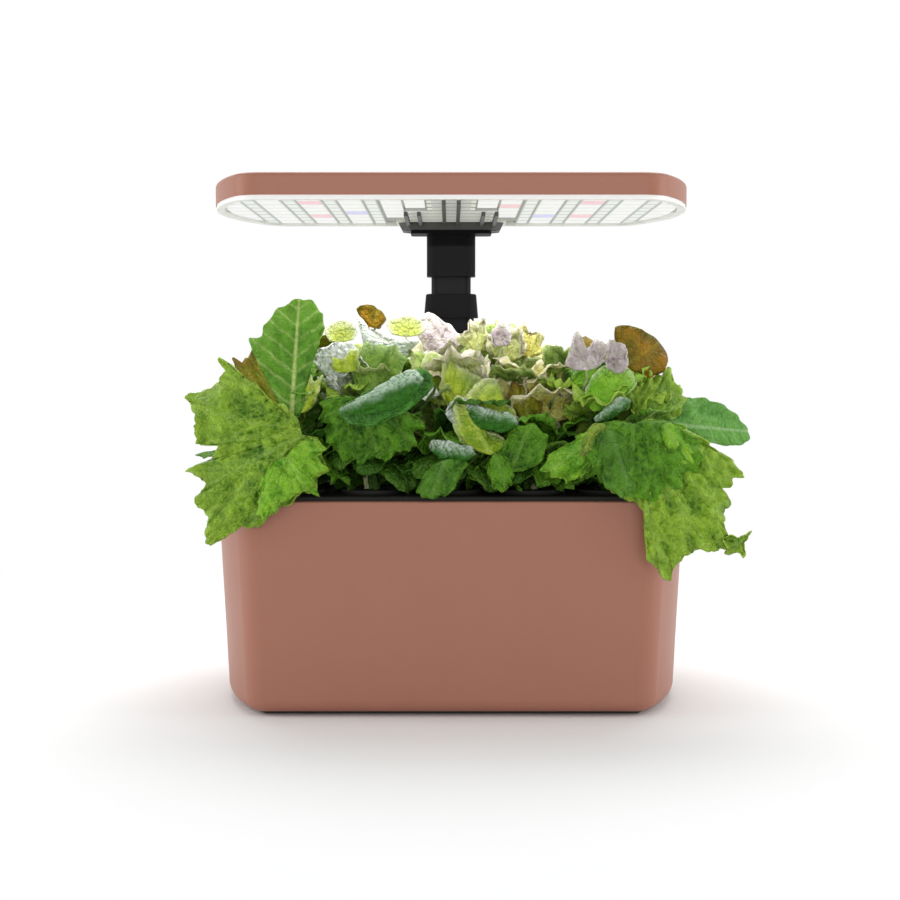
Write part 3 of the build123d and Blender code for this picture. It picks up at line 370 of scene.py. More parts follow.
skins = {
    "green": leafSkin("greenLeaf", (0.028, 0.12, 0.003), (0.27, 0.45, 0.025), (0.36, 0.55, 0.06),
        (0.34, 0.52, 0.12), fan=1.0, vein=0.4, lace=0.9, edgePower=3.5),
    "fresh": leafSkin("freshLeaf", (0.055, 0.23, 0.004), (0.25, 0.52, 0.025), (0.32, 0.56, 0.06),
        (0.34, 0.56, 0.12), fan=1.0, lace=0.8),
    "deep": leafSkin("deepLeaf", (0.010, 0.06, 0.001), (0.10, 0.28, 0.008), (0.13, 0.34, 0.02),
        (0.2, 0.38, 0.06), fan=1.0, lace=0.8, edgePower=4.0),
    "romaine": leafSkin("romaineLeaf", (0.026, 0.13, 0.004), (0.12, 0.32, 0.018), (0.15, 0.34, 0.03),
        (0.44, 0.57, 0.18), vein=0.5, spine=1.0, veins=62.0, lace=0.3, gloss=0.34),
    "bronze": leafSkin("bronzeLeaf", (0.07, 0.09, 0.003), (0.36, 0.38, 0.015), (0.2, 0.1, 0.015),
        (0.4, 0.42, 0.08), edgePower=3.0),
    "blue": leafSkin("blueLeaf", (0.008, 0.065, 0.003), (0.06, 0.24, 0.02), (0.12, 0.32, 0.06),
        (0.16, 0.36, 0.08), spine=0.1, gloss=0.24, edgePower=6.0),
    # the rolled margins' pale streaks: partly the leaf's own pale colour, partly painted highlight
    "rolled": leafSkin("rolledLeafWithHighlight", (0.34, 0.5, 0.34), (0.72, 0.84, 0.7), (0.8, 0.88, 0.76),
        (0.04, 0.15, 0.03), vein=0.8, lace=0.1, spine=0.0, veins=140.0, slant=0.1, stray=0.2,
        under=(0.03, 0.14, 0.01), gloss=0.24, edgePower=7.0),
    "frost": leafSkin("frostLeaf", (0.5, 0.6, 0.48), (0.95, 0.97, 0.93), (0.92, 0.94, 0.86),
        (0.14, 0.24, 0.08), vein=0.6, lace=0.1, spine=0.0, veins=120.0, slant=0.2, stray=0.2,
        pucker=0.0018),
    "veined": leafSkin("veinedLeaf", (0.04, 0.12, 0.008), (0.2, 0.36, 0.03), (0.42, 0.56, 0.24),
        (0.34, 0.5, 0.14), fan=1.0, vein=0.5, lace=0.7, edgePower=9.0),
    "olive": leafSkin("oliveLeaf", (0.045, 0.11, 0.006), (0.26, 0.38, 0.04), (0.44, 0.52, 0.2),
        (0.34, 0.44, 0.12), vein=0.35, edgePower=8.0),
    "cream": leafSkin("creamLeaf", (0.17, 0.22, 0.014), (0.52, 0.57, 0.15), (0.84, 0.77, 0.62),
        (0.62, 0.64, 0.34), fan=1.0, lace=0.8, edgePower=4.0),
    "mauve": leafSkin("mauveLeaf", (0.16, 0.1, 0.12), (0.6, 0.52, 0.54), (0.7, 0.63, 0.62),
        (0.42, 0.4, 0.26), spine=0.2, lace=0.7),
    "orange": leafSkin("orangeLeaf", (0.085, 0.075, 0.001), (0.32, 0.15, 0.002), (0.1, 0.07, 0.003),
        (0.36, 0.26, 0.02), vein=0.2, lace=0.3, gloss=0.3, edgePower=9.0),
    "dark": leafSkin("darkLeaf", (0.010, 0.055, 0.002), (0.08, 0.23, 0.012), (0.12, 0.28, 0.03),
        (0.18, 0.34, 0.08), gloss=0.32),
    "oval": leafSkin("ovalLeaf", (0.045, 0.18, 0.018), (0.14, 0.36, 0.06), (0.08, 0.24, 0.03),
        (0.34, 0.52, 0.24), vein=0.2, spine=0.6, pucker=0.0007, gloss=0.32),
    "shade": leafSkin("shadeLeaf", (0.004, 0.02, 0.001), (0.035, 0.12, 0.007), (0.05, 0.15, 0.012),
        (0.08, 0.18, 0.03)),
    "lime": leafSkin("limeLeaf", (0.14, 0.28, 0.005), (0.5, 0.64, 0.03), (0.78, 0.84, 0.5),
        (0.56, 0.68, 0.16), edgePower=8.0),
    "cup": leafSkin("cupLeaf", (0.3, 0.37, 0.03), (0.5, 0.56, 0.12), (0.86, 0.88, 0.74), (0.5, 0.56, 0.16),
        vein=0.06, lace=0.15, spine=0.0),
    "bright": leafSkin("brightLeaf", (0.14, 0.4, 0.01), (0.34, 0.62, 0.05), (0.7, 0.8, 0.54),
        (0.34, 0.6, 0.1), vein=0.15, spine=0.1, edgePower=12.0),
    "limeBronze": leafSkin("limeBronzeLeaf", (0.48, 0.44, 0.05), (0.82, 0.86, 0.28), (0.9, 0.84, 0.66),
        (0.5, 0.32, 0.07), fan=1.0, vein=0.4, edgePower=8.0),
    "stalk": leafSkin("stalkSkin", (0.02, 0.065, 0.006), (0.09, 0.18, 0.03), (0.09, 0.18, 0.03),
        (0.16, 0.27, 0.06)),
    "paleStalk": leafSkin("paleStalkSkin", (0.34, 0.4, 0.16), (0.6, 0.64, 0.4), (0.6, 0.64, 0.4),
        (0.66, 0.7, 0.46)),
}

# how each habit of leaf waves, in mm: wave heights and lengths, creases, blisters, teeth and the dome
habits = {
    "frilly": {"wave": 5.6, "length": 18, "crease": 2.6, "blister": 1.5, "notch": 0.05, "dome": 7,
        "fold": 0.05, "teeth": 4.0, "frill": 1.7},
    "corner": {"wave": 3.2, "length": 31, "crease": 4.2, "blister": 2.0, "notch": 0.0, "dome": 9,
        "fold": 0.04, "teeth": 2.4, "frill": 1.6},
    "crinkled": {"wave": 3.4, "length": 21, "crease": 3.2, "blister": 1.5, "notch": 0.05, "dome": 7,
        "fold": 0.1, "teeth": 1.5, "frill": 1.1},
    "smooth": {"wave": 2.8, "length": 31, "crease": 1.9, "blister": 0.5, "notch": 0.0, "dome": 8,
        "fold": 0.14, "teeth": 0.4, "frill": 0.3},
    "romaine": {"wave": 2.8, "length": 26, "crease": 1.5, "blister": 0.8, "notch": 0.01, "dome": 4,
        "fold": 0.2, "teeth": 0.5, "frill": 0.7},
    "cup": {"wave": 0.8, "length": 18, "crease": 0.5, "blister": 0.2, "notch": 0.0, "dome": -9, "fold": 0.0,
        "teeth": 0.4, "frill": 0.2},
    "rolled": {"wave": 1.2, "length": 11, "crease": 1.5, "blister": 1.0, "notch": 0.0, "dome": 8,
        "fold": -0.2, "teeth": 0.7, "frill": 0.4},
}


# what every blade shares, in mm, with the powers by which its edge waves more than its middle
bladeForm = {"thickness": 0.5, "frill": 9.5, "lobeParts": 12, "fewest": (16, 7), "waveDrift": 31,
             "swell": 23, "frillDrift": 12, "jag": 5.5, "fineJag": 2.6, "crease": (17, 12),
             "puff": (10, 7.5), "clear": 5, "fullDome": 45, "wavePower": 3.4, "frillPower": 8,
             "teethPower": 7, "merge": 0.02}


# the edge of a blade, walked in even steps from lobe to lobe: side, height and distance walked
def edgeLine(lobes, notch, step):
    corners = []
    for (angleA, reachA), (angleB, reachB) in zip(lobes, lobes[1:]):
        for part in range(bladeForm["lobeParts"]):
            share = part / bladeForm["lobeParts"]
            ease = share * share * (3 - 2 * share)
            reach = (reachA + (reachB - reachA) * ease) * (1 - notch * math.sin(math.pi * share) ** 2)
            turn = math.radians(angleA + (angleB - angleA) * share)
            corners.append((reach * math.sin(turn), reach * math.cos(turn)))
    walked = [0.0]
    for first, second in zip(corners, corners[1:]):
        walked.append(walked[-1] + math.dist(first, second))
    count = max(bladeForm["fewest"][0], round(walked[-1] / step))
    line = []
    index = 0
    for stop in range(count + 1):
        goal = walked[-1] * stop / count
        while walked[index + 1] < goal and index < len(corners) - 2:
            index += 1
        share = (goal - walked[index]) / (walked[index + 1] - walked[index])
        first, second = corners[index], corners[index + 1]
        side, height = (a + (b - a) * share for a, b in zip(first, second))
        line.append((side, height, goal))
    return line


# a blade stands up from its root with its face towards -Y, before it is placed
def growBlade(lobes, habit, skin, rib, placing, step, chance, bend=0.0):
    form = habits[habit]
    line = edgeLine(lobes, form["notch"], step)
    longest = max(reach for angle, reach in lobes)
    rings = max(bladeForm["fewest"][1], round(longest / (step * 1.5)))
    spokes = len(line) - 1
    deselect()
    bpy.ops.mesh.primitive_grid_add(x_subdivisions=spokes, y_subdivisions=rings, size=2)
    blade = bpy.context.active_object
    mesh = blade.data
    marks = {name: mesh.attributes.new(name, "FLOAT", "POINT").data for name in bladeMarks}
    tone = chance.uniform(-0.5, 0.5)
    seed = chance.uniform(0, 90)
    ribTurn = math.radians(rib)
    flat = {}
    for vertex in mesh.vertices:
        side, height, walked = line[round((vertex.co.x + 1) / 2 * spokes)]
        out = (vertex.co.y + 1) / 2
        reach = math.hypot(side, height)
        drift = noise.noise(Vector((walked / bladeForm["waveDrift"], out * 2.6, seed))) * 1.6
        swell = 0.6 + 0.8 * noise.noise(Vector((walked / bladeForm["swell"], out * 2.2, seed + 5)))
        wave = math.sin((walked / form["length"] + drift) * math.tau) * out ** bladeForm["wavePower"] * swell
        frillTurn = (walked / bladeForm["frill"]
                     + noise.noise(Vector((walked / bladeForm["frillDrift"], seed, 4))) * 1.4)
        frill = math.sin(frillTurn * math.tau) * out ** bladeForm["frillPower"]
        jag = (noise.noise(Vector((walked / bladeForm["jag"], seed, 2)))
               + 0.7 * noise.noise(Vector((walked / bladeForm["fineJag"], seed, 8))))
        ease = out * (1 + form["teeth"] / reach * jag * out ** bladeForm["teethPower"])
        x, z = side * ease, height * ease
        along = x * math.sin(ribTurn) + z * math.cos(ribTurn)
        across = x * math.cos(ribTurn) - z * math.sin(ribTurn)
        length, width = bladeForm["crease"]
        crease = 0.5 - 2 * abs(noise.noise(Vector((along / length, across / width, seed))))
        length, width = bladeForm["puff"]
        near, far = noise.voronoi(Vector((along / length, across / width, seed)))[0][:2]
        puff = min(1, (far - near) * 2.4) - 0.5
        clear = min(1, abs(across) / bladeForm["clear"])
        dome = form["dome"] * (1 - out * out) * min(1, longest / bladeForm["fullDome"])
        front = (wave * form["wave"] + frill * form["frill"] + dome + form["fold"] * abs(across)
                 + (crease * form["crease"] + puff * form["blister"]) * clear)
        if bend:
            turn = bend * z / longest
            back = longest / bend * (1 - math.cos(turn)) - front * math.cos(turn)
            z = longest / bend * math.sin(turn) + front * math.sin(turn)
        else:
            back = -front
        vertex.co = (placing @ Vector((x, back, z))) * mm
        flat[vertex.index] = (along / 100, across / 100)
        # the edge mark grows towards the margin and more on the upper margins, for painted light there
        marks["edge"][vertex.index].value = out * (0.86 + 0.14 * height / reach)
        marks["tone"][vertex.index].value = tone
        # the relief's height, kept for painted light on crests and painted shade in hollows
        marks["reliefShade"][vertex.index].value = wave * 0.5 + frill * 0.25 + crease * 0.8 + puff * 0.35
    corner = mesh.uv_layers.active.data
    for loop in mesh.loops:
        corner[loop.index].uv = flat[loop.vertex_index]
    bpy.ops.object.mode_set(mode="EDIT")
    bpy.ops.mesh.select_all(action="SELECT")
    bpy.ops.mesh.remove_doubles(threshold=bladeForm["merge"] * mm)
    bpy.ops.object.mode_set(mode="OBJECT")
    bpy.ops.object.modifier_add(type="SOLIDIFY")
    blade.modifiers[-1].thickness = bladeForm["thickness"] * mm
    blade.modifiers[-1].offset = 0
    bpy.ops.object.modifier_apply(modifier=blade.modifiers[-1].name)
    bpy.ops.object.shade_smooth()
    mesh.materials.append(skins[skin])
    return blade


# a stalk curves from the crown out to where a blade's veins meet, and ends a little way into the blade
stalkForm = {"thick": {"shown": 2.4, "inner": 2.2, "low": 1.9, "tuft": 1.4}, "rise": 0.2, "into": 2,
             "tipHandle": 0.18, "tip": 0.25, "back": 0.15, "scatter": 4, "paleKinds": ("shown", "tuft"),
             "paleSkins": ("cup", "cream", "frost", "mauve", "limeBronze")}


def growStalk(crown, root, heading, kind, bladeSkin):
    deselect()
    bpy.ops.curve.primitive_bezier_curve_add()
    stalk = bpy.context.active_object
    stalk.data.bevel_depth = stalkForm["thick"][kind] * mm
    stalk.data.bevel_resolution = 1
    stalk.data.resolution_u = 8
    first, last = stalk.data.splines[0].bezier_points
    length = (root - crown).length
    rise = stalkForm["rise"]
    start = (root - crown) * rise + Vector((0, 0, length * rise))
    end = heading * length * stalkForm["tipHandle"]
    tip = root + heading * stalkForm["into"]
    for point, place, handle, radius in ((first, crown, start, 1.0), (last, tip, end, stalkForm["tip"])):
        point.handle_left_type = point.handle_right_type = "FREE"
        point.co = place * mm
        point.handle_left = (place - handle) * mm
        point.handle_right = (place + handle) * mm
        point.radius = radius
    stalk.data.use_fill_caps = True
    bpy.ops.object.convert(target="MESH")
    stalk = bpy.context.active_object
    bpy.ops.object.shade_smooth()
    pale = kind in stalkForm["paleKinds"] and bladeSkin in stalkForm["paleSkins"]
    stalk.data.materials.append(skins["paleStalk" if pale else "stalk"])
    return stalk


# the leaves that show most: lobes are (turn clockwise from upright, reach in mm) round the root, and a leaf
# is as usual in what it doesn't say
usualLeaf = {"habit": "crinkled", "rib": 0, "lean": 0.3, "turn": 0}
grown = {
    "cornerLeft": {"plant": 1, "skin": "green", "habit": "corner", "root": (-93, -97, 183), "rib": -118,
        "lean": 0.14, "turn": -0.02,
        "lobes": [(-258, 9), (-222, 16), (-214, 28), (-200, 27), (-192, 38), (-181, 36), (-165, 46),
        (-158, 55), (-154, 65), (-147, 70), (-141, 86), (-139, 93), (-136, 89), (-131, 78), (-121, 80),
        (-118, 70), (-113, 71), (-107, 77), (-105, 60), (-98, 55), (-95, 68), (-84, 68), (-76, 74),
        (-72, 79), (-68, 71), (-61, 64), (-52, 64), (-48, 72), (-46, 62), (-50, 52), (-43, 44), (-48, 33),
        (-38, 24), (-20, 9)]},
    "cornerFold": {"plant": 1, "skin": "fresh", "habit": "frilly", "root": (-102, -108, 170), "rib": 150,
        "lean": 0.1,
        "lobes": [(40, 8), (58, 22), (81, 24), (94, 19), (109, 27), (130, 21), (143, 30), (156, 25),
        (185, 28), (193, 36), (201, 44), (209, 38), (225, 24), (250, 10)]},
    "romaine": {"plant": 1, "skin": "romaine", "habit": "romaine", "root": (-101, -93, 188), "rib": 2,
        "lobes": [(-40, 7), (-24, 15), (-22, 29), (-25, 42), (-29, 54), (-27, 62), (-20, 60), (-16, 67),
        (-7, 76), (1, 81), (8, 81), (14, 74), (18, 65), (16, 52), (18, 38), (22, 23), (40, 7)]},
    "bronzeBehind": {"plant": 1, "skin": "bronze", "root": (-105, -88, 192), "rib": -31, "lean": 0.2,
        "turn": -0.1,
        "lobes": [(-80, 5), (-54, 30), (-49, 46), (-42, 52), (-36, 46), (-28, 50), (-20, 38), (-8, 18),
        (27, 5)]},
    "limeSliver": {"plant": 1, "skin": "lime", "root": (-96, -88, 196), "rib": 26, "lean": 0.2,
        "lobes": [(-20, 5), (8, 16), (16, 25), (24, 22), (30, 28), (38, 20), (52, 13), (80, 4)]},
    "wrinkled": {"plant": 2, "skin": "frost", "root": (-62, -70, 232), "rib": -97, "lean": 0.4,
        "lobes": [(-205, 5), (-168, 10), (-151, 16), (-131, 22), (-118, 24), (-108, 25), (-96, 28),
        (-89, 34), (-82, 25), (-63, 17), (-30, 10), (10, 6)]},
    "whiteRuffle": {"plant": 7, "skin": "frost", "root": (-48, -52, 231), "rib": 10, "lean": 0.4,
        "lobes": [(-70, 6), (-50, 12), (-38, 18), (-27, 30), (-14, 20), (8, 16), (34, 15), (55, 22),
        (68, 30), (79, 22), (100, 8)]},
    "limeChip": {"plant": 2, "skin": "lime", "root": (-65, -78, 222), "rib": -20, "lean": 0.2,
        "lobes": [(-100, 4), (-76, 13), (-50, 15), (-26, 9), (4, 15), (18, 16), (36, 9), (90, 4)]},
    "curledBlue": {"plant": 2, "skin": "blue", "habit": "smooth", "root": (-11, -97, 214), "rib": -104,
        "lean": 0.5, "turn": 0.1,
        "lobes": [(-140, 10), (-130, 30), (-121, 49), (-113, 58), (-105, 62), (-98, 46), (-90, 31),
        (-70, 21), (-45, 14), (-10, 6)]},
    "curledRim": {"plant": 2, "skin": "rolled", "habit": "rolled", "root": (-17, -106, 218), "rib": -112,
        "lean": 0.5, "turn": 0.1,
        "lobes": [(-155, 7), (-142, 19), (-131, 30), (-121, 42), (-115, 51), (-110, 56), (-108, 45),
        (-103, 32), (-92, 21), (-74, 13), (-40, 7)]},
    "frillUnder": {"plant": 2, "skin": "deep", "habit": "frilly", "root": (-59, -92, 206), "rib": 160,
        "lean": 0.0,
        "lobes": [(95, 8), (113, 46), (134, 47), (157, 43), (180, 42), (196, 40), (215, 34), (236, 28),
        (260, 24), (280, 8)]},
    "veined": {"plant": 2, "skin": "veined", "root": (-50, -76, 206), "rib": 4, "lean": 0.2,
        "lobes": [(-90, 8), (-62, 15), (-36, 24), (-20, 32), (-8, 36), (8, 34), (24, 36), (38, 33),
        (56, 20), (80, 10), (110, 4)]},
    "cupLeft": {"plant": 2, "skin": "cup", "habit": "cup", "root": (-74, -40, 241), "lean": 0.6,
        "lobes": [(-81, 7), (-45, 14), (-20, 16), (20, 16), (50, 14), (78, 9)]},
    "cupRight": {"plant": 2, "skin": "cup", "habit": "cup", "root": (-30, -32, 245), "lean": 0.6,
        "lobes": [(-79, 10), (-50, 17), (-20, 16), (25, 16), (60, 14), (83, 10)]},
    "bronzeTip": {"plant": 7, "skin": "orange", "habit": "smooth", "root": (-52, -20, 251), "rib": 10,
        "lean": 0.1,
        "lobes": [(-75, 6), (-62, 8), (-53, 8), (-48, 15), (-43, 18), (-34, 18), (-20, 17), (-9, 16),
        (15, 13), (38, 11), (50, 10), (68, 5), (100, 3)]},
    "paleSmooth": {"plant": 8, "skin": "mauve", "habit": "smooth", "root": (5, 5, 227), "rib": -34,
        "lean": 0.2,
        "lobes": [(-81, 8), (-66, 27), (-45, 42), (-32, 42), (-15, 29), (0, 21), (41, 11), (90, 5)]},
    "limeMiddle": {"plant": 3, "skin": "lime", "habit": "smooth", "root": (-6, -64, 200), "rib": -9,
        "lean": 0.2, "turn": 0.1,
        "lobes": [(-79, 6), (-52, 16), (-34, 28), (-13, 36), (4, 32), (25, 18), (56, 13), (90, 4)]},
    "limeFold": {"plant": 3, "skin": "lime", "root": (4, -76, 196), "rib": 20, "turn": 0.1,
        "lobes": [(-60, 6), (-30, 22), (-16, 33), (-8, 38), (6, 30), (30, 27), (48, 30), (58, 24),
        (90, 6)]},
    "paleFlap": {"plant": 3, "skin": "frost", "root": (5, -92, 187), "lean": 0.2,
        "lobes": [(-60, 6), (-45, 12), (-20, 17), (0, 20), (14, 19), (24, 12), (50, 4)]},
    "lowCurl": {"plant": 3, "skin": "rolled", "habit": "rolled", "root": (15, -100, 171), "rib": -84,
        "lobes": [(-140, 5), (-110, 15), (-94, 24), (-84, 29), (-75, 29), (-66, 20), (-60, 9), (-20, 4)]},
    "middleLow": {"plant": 3, "skin": "dark", "root": (-4, -98, 167), "rib": 200, "lean": 0.0,
        "lobes": [(80, 8), (100, 14), (139, 15), (165, 20), (180, 24), (200, 27), (212, 29), (220, 28),
        (232, 18), (250, 8)]},
    "creamBack": {"plant": 8, "skin": "olive", "habit": "frilly", "root": (35, -30, 229), "rib": -23,
        "lean": 0.5,
        "lobes": [(-92, 10), (-80, 28), (-60, 32), (-40, 33), (-17, 27), (14, 24), (44, 25), (70, 26),
        (80, 16), (100, 4)]},
    "creamLeft": {"plant": 8, "skin": "cream", "habit": "frilly", "root": (18, -36, 235), "rib": -10,
        "lean": 0.4,
        "lobes": [(-80, 8), (-60, 15), (-45, 18), (-28, 17), (-15, 22), (0, 20), (10, 23), (25, 17),
        (45, 14), (80, 6)]},
    "creamMiddle": {"plant": 9, "skin": "cream", "habit": "frilly", "root": (36, -40, 228), "lean": 0.4,
        "lobes": [(-70, 8), (-50, 18), (-30, 22), (-12, 26), (8, 24), (24, 26), (40, 20), (60, 16),
        (85, 6)]},
    "creamRight": {"plant": 9, "skin": "limeBronze", "habit": "frilly", "root": (50, -32, 232), "rib": 10,
        "lean": 0.4,
        "lobes": [(-80, 6), (-50, 14), (-21, 20), (0, 23), (14, 18), (27, 19), (50, 14), (69, 14),
        (100, 5)]},
    "mauveBud": {"plant": 8, "skin": "mauve", "habit": "smooth", "root": (33, -50, 239), "lean": 0.5,
        "lobes": [(-100, 4), (-60, 7), (-30, 12), (0, 14), (30, 12), (60, 7), (100, 4)]},
    "bronzeEdge": {"plant": 4, "skin": "limeBronze", "root": (50, -62, 190), "rib": 61, "turn": 0.1,
        "lobes": [(-60, 6), (-44, 40), (-22, 33), (0, 32), (12, 41), (36, 29), (64, 44), (80, 38), (95, 18),
        (111, 12)]},
    "bronzeFold": {"plant": 4, "skin": "bronze", "root": (50, -74, 188), "rib": -10, "turn": 0.1,
        "lobes": [(-60, 6), (-36, 22), (-20, 30), (-6, 26), (10, 30), (24, 20), (60, 6)]},
    "foldedLime": {"plant": 3, "skin": "lime", "habit": "smooth", "root": (37, -84, 187), "rib": -32,
        "turn": 0.2,
        "lobes": [(-105, 8), (-88, 20), (-53, 34), (-30, 35), (-16, 32), (-8, 14), (56, 6)]},
    "foldedGrey": {"plant": 3, "skin": "rolled", "habit": "rolled", "root": (42, -94, 190), "rib": -76,
        "turn": 0.1,
        "lobes": [(-140, 5), (-108, 16), (-98, 24), (-86, 30), (-72, 34), (-67, 35), (-66, 24), (-60, 12),
        (-20, 4)]},
    "lowLeft": {"plant": 3, "skin": "lime", "habit": "smooth", "root": (25, -90, 170), "rib": -30,
        "lean": 0.1, "turn": 0.2,
        "lobes": [(-80, 6), (-66, 22), (-50, 31), (-30, 43), (-18, 24), (-8, 14), (41, 13), (79, 7)]},
    "lowRight": {"plant": 4, "skin": "deep", "root": (37, -93, 159), "rib": 24, "lean": 0.1, "turn": -0.2,
        "lobes": [(-67, 9), (-45, 18), (-11, 20), (5, 30), (26, 34), (45, 33), (65, 24), (90, 8)]},
    "smallFrill": {"plant": 4, "skin": "fresh", "habit": "frilly", "root": (92, -99, 185), "rib": -130,
        "lean": -0.1, "turn": 0.1,
        "lobes": [(-180, 12), (-166, 27), (-152, 38), (-139, 41), (-125, 44), (-117, 37), (-112, 14),
        (-80, 4)]},
    "lowTip": {"plant": 3, "skin": "deep", "habit": "frilly", "root": (27, -97, 171), "rib": 160,
        "lean": 0.1,
        "lobes": [(100, 6), (128, 14), (142, 21), (150, 23), (166, 25), (180, 23), (192, 16), (215, 6)]},
    "limeBetween": {"plant": 9, "skin": "olive", "habit": "frilly", "root": (68, -66, 221),
        "lobes": [(-80, 6), (-40, 12), (-30, 18), (0, 19), (30, 17), (45, 12), (80, 5)]},
    "mauveSpike": {"plant": 9, "skin": "mauve", "root": (87, -80, 223), "rib": -14, "lean": 0.2,
        "turn": 0.1,
        "lobes": [(-90, 9), (-73, 15), (-40, 17), (-14, 26), (0, 14), (18, 21), (41, 21), (60, 12),
        (80, 4)]},
    "mauveSmall": {"plant": 10, "skin": "mauve", "root": (105, -76, 221), "rib": 8, "lean": 0.2,
        "lobes": [(-56, 6), (-30, 12), (-8, 22), (20, 20), (45, 12), (90, 5)]},
    "bronzeOval": {"plant": 10, "skin": "orange", "habit": "smooth", "root": (113, -65, 226), "rib": 57,
        "turn": 0.15,
        "lobes": [(-25, 17), (-12, 26), (13, 26), (34, 26), (58, 28), (78, 29), (97, 26), (112, 19),
        (130, 5)]},
    "brightRight": {"plant": 5, "skin": "bright", "habit": "smooth", "root": (90, -80, 197), "rib": 40,
        "turn": -0.1,
        "lobes": [(-40, 6), (-8, 16), (5, 24), (18, 31), (30, 35), (44, 36), (57, 35), (68, 22), (90, 8)]},
    "brightBehind": {"plant": 5, "skin": "bright", "habit": "smooth", "root": (97, -66, 216), "rib": -94,
        "lobes": [(-120, 6), (-105, 17), (-98, 26), (-85, 20), (-53, 14), (0, 10), (45, 11), (80, 4)]},
    "rightFlap": {"plant": 5, "skin": "rolled", "habit": "rolled", "root": (113, -94, 204), "rib": -120,
        "lobes": [(-160, 4), (-143, 9), (-132, 18), (-122, 26), (-117, 26), (-108, 17), (-92, 11),
        (-50, 4)]},
    "topFrill": {"plant": 5, "skin": "green", "habit": "frilly", "root": (129, -72, 190), "rib": 17,
        "turn": 0.1,
        "lobes": [(-75, 15), (-55, 23), (-34, 25), (-13, 26), (0, 30), (13, 30), (20, 38), (40, 31),
        (61, 28), (80, 17), (100, 5)]},
    "ovalRight": {"plant": 5, "skin": "oval", "habit": "smooth", "root": (133, -58, 189), "rib": 96,
        "lean": 0.2, "turn": 0.2,
        "lobes": [(35, 8), (48, 20), (57, 29), (68, 39), (79, 50), (88, 58), (95, 64), (100, 66), (104, 62),
        (108, 52), (110, 40), (112, 24), (130, 8)]},
    "cornerRight": {"plant": 5, "skin": "green", "habit": "corner", "root": (116, -97, 189), "rib": 150,
        "lean": 0.12, "turn": 0.02,
        "lobes": [(60, 8), (86, 14), (95, 33), (105, 47), (111, 66), (116, 75), (119, 69), (123, 72),
        (126, 68), (129, 78), (134, 79), (138, 82), (141, 92), (143, 98), (147, 94), (152, 89), (159, 87),
        (165, 92), (168, 99), (170, 99), (172, 90), (176, 84), (175, 74), (172, 64), (175, 53), (183, 48),
        (197, 45), (218, 39), (229, 37), (246, 28), (262, 21), (283, 10)]},
    "cornerInner": {"plant": 5, "skin": "deep", "habit": "corner", "root": (112, -107, 190), "rib": 180,
        "lean": 0.1, "turn": 0.02,
        "lobes": [(76, 10), (92, 28), (106, 44), (122, 50), (134, 46), (142, 52), (152, 45), (163, 49),
        (178, 46), (196, 42), (215, 38), (232, 34), (246, 26), (266, 18), (285, 8)]},
    "cornerTail": {"plant": 5, "skin": "green", "habit": "smooth", "root": (180, -104, 115), "rib": 45,
        "lean": 0.1, "branch": (160, -103, 116),
        "lobes": [(-75, 11), (-60, 8), (0, 3), (38, 6), (50, 12), (58, 8), (90, 4), (130, 5), (152, 9),
        (162, 10), (174, 6), (200, 6), (216, 10), (228, 11), (242, 8), (270, 9), (285, 11)]},
    "rightRuffle": {"plant": 5, "skin": "fresh", "habit": "frilly", "root": (131, -110, 190), "rib": 146,
        "lean": 0.1,
        "lobes": [(80, 5), (100, 14), (118, 20), (132, 27), (144, 32), (154, 30), (164, 20), (190, 12),
        (230, 5)]},
    "paleStrip": {"plant": 5, "skin": "olive", "root": (95, -106, 190), "rib": 212, "lean": 0.1,
        "lobes": [(150, 5), (172, 12), (190, 17), (204, 23), (216, 25), (226, 18), (246, 11), (275, 5)]},
    "greyFlap": {"plant": 5, "skin": "dark", "root": (97, -111, 187), "rib": 160, "lean": 0.08,
        "lobes": [(100, 8), (128, 22), (146, 34), (158, 43), (168, 44), (180, 38), (196, 24), (214, 14),
        (250, 6)]},
}

# what fills each plant behind them, from the crown outwards, in mm and degrees
filling = {
    "front": {"count": 17, "stem": (50, 12), "tilt": (5, 64), "reach": (42, 56), "shy": -1},
    "rear": {"count": 17, "stem": (54, 12), "tilt": (4, 62), "reach": (44, 60), "shy": 1},
    "skirt": {"count": 9, "out": 14, "rise": (10, 27), "tilt": (66, 92), "reach": (34, 44),
              "bend": (0.9, 1.5), "shyness": 0.3, "wander": 0.25, "uneven": (0.9, 1.05)},
    "tuft": {"count": 15, "stem": (52, 70), "tilt": (4, 44), "reach": (11, 19), "face": (8, 70),
             "bend": (0.2, 0.9), "shift": 31, "uneven": (0.85, 1.1)},
    "seed": 40, "golden": 137.5, "shift": 47, "shyness": 0.45, "bend": (0.5, 1.1), "uneven": (0.92, 1.04),
    "step": {"shown": 1.6, "inner": 2.8, "low": 2.8, "tuft": 1.6},
}
# the skins that each plant's inner leaves, tuft, outer leaves and low leaves are drawn from
innerSkins = {
    1: ("romaine", "green"), 2: ("olive", "frost", "green"), 3: ("lime", "cream", "olive"),
    4: ("cream", "limeBronze", "olive"), 5: ("fresh", "dark", "green"), 6: ("romaine", "bronze", "green"),
    7: ("lime", "frost", "olive"), 8: ("mauve", "cream", "olive"), 9: ("cream", "mauve", "olive"),
    10: ("orange", "green", "dark"),
}
tuftSkins = {
    2: ("olive", "lime", "frost", "green"), 3: ("cream", "mauve", "lime", "limeBronze", "frost"),
    4: ("cream", "mauve", "limeBronze", "bronze"), 5: ("green", "fresh", "olive"),
    7: ("lime", "frost", "cream", "olive"), 8: ("mauve", "cream", "limeBronze", "frost"),
    9: ("cream", "mauve", "lime", "olive"), 10: ("green", "bronze", "olive"),
}
# painted shade under the canopy: most outer leaves and all low leaves take darker skins
outerSkins = ("dark", "deep", "shade", "romaine")
lowShadeSkins = ("shade", "dark", "shade", "deep")
slimSkins = ("romaine", "dark", "orange")
habitOf = {"green": "frilly", "deep": "frilly", "fresh": "frilly", "dark": "smooth", "romaine": "romaine",
           "cream": "frilly", "orange": "smooth"}


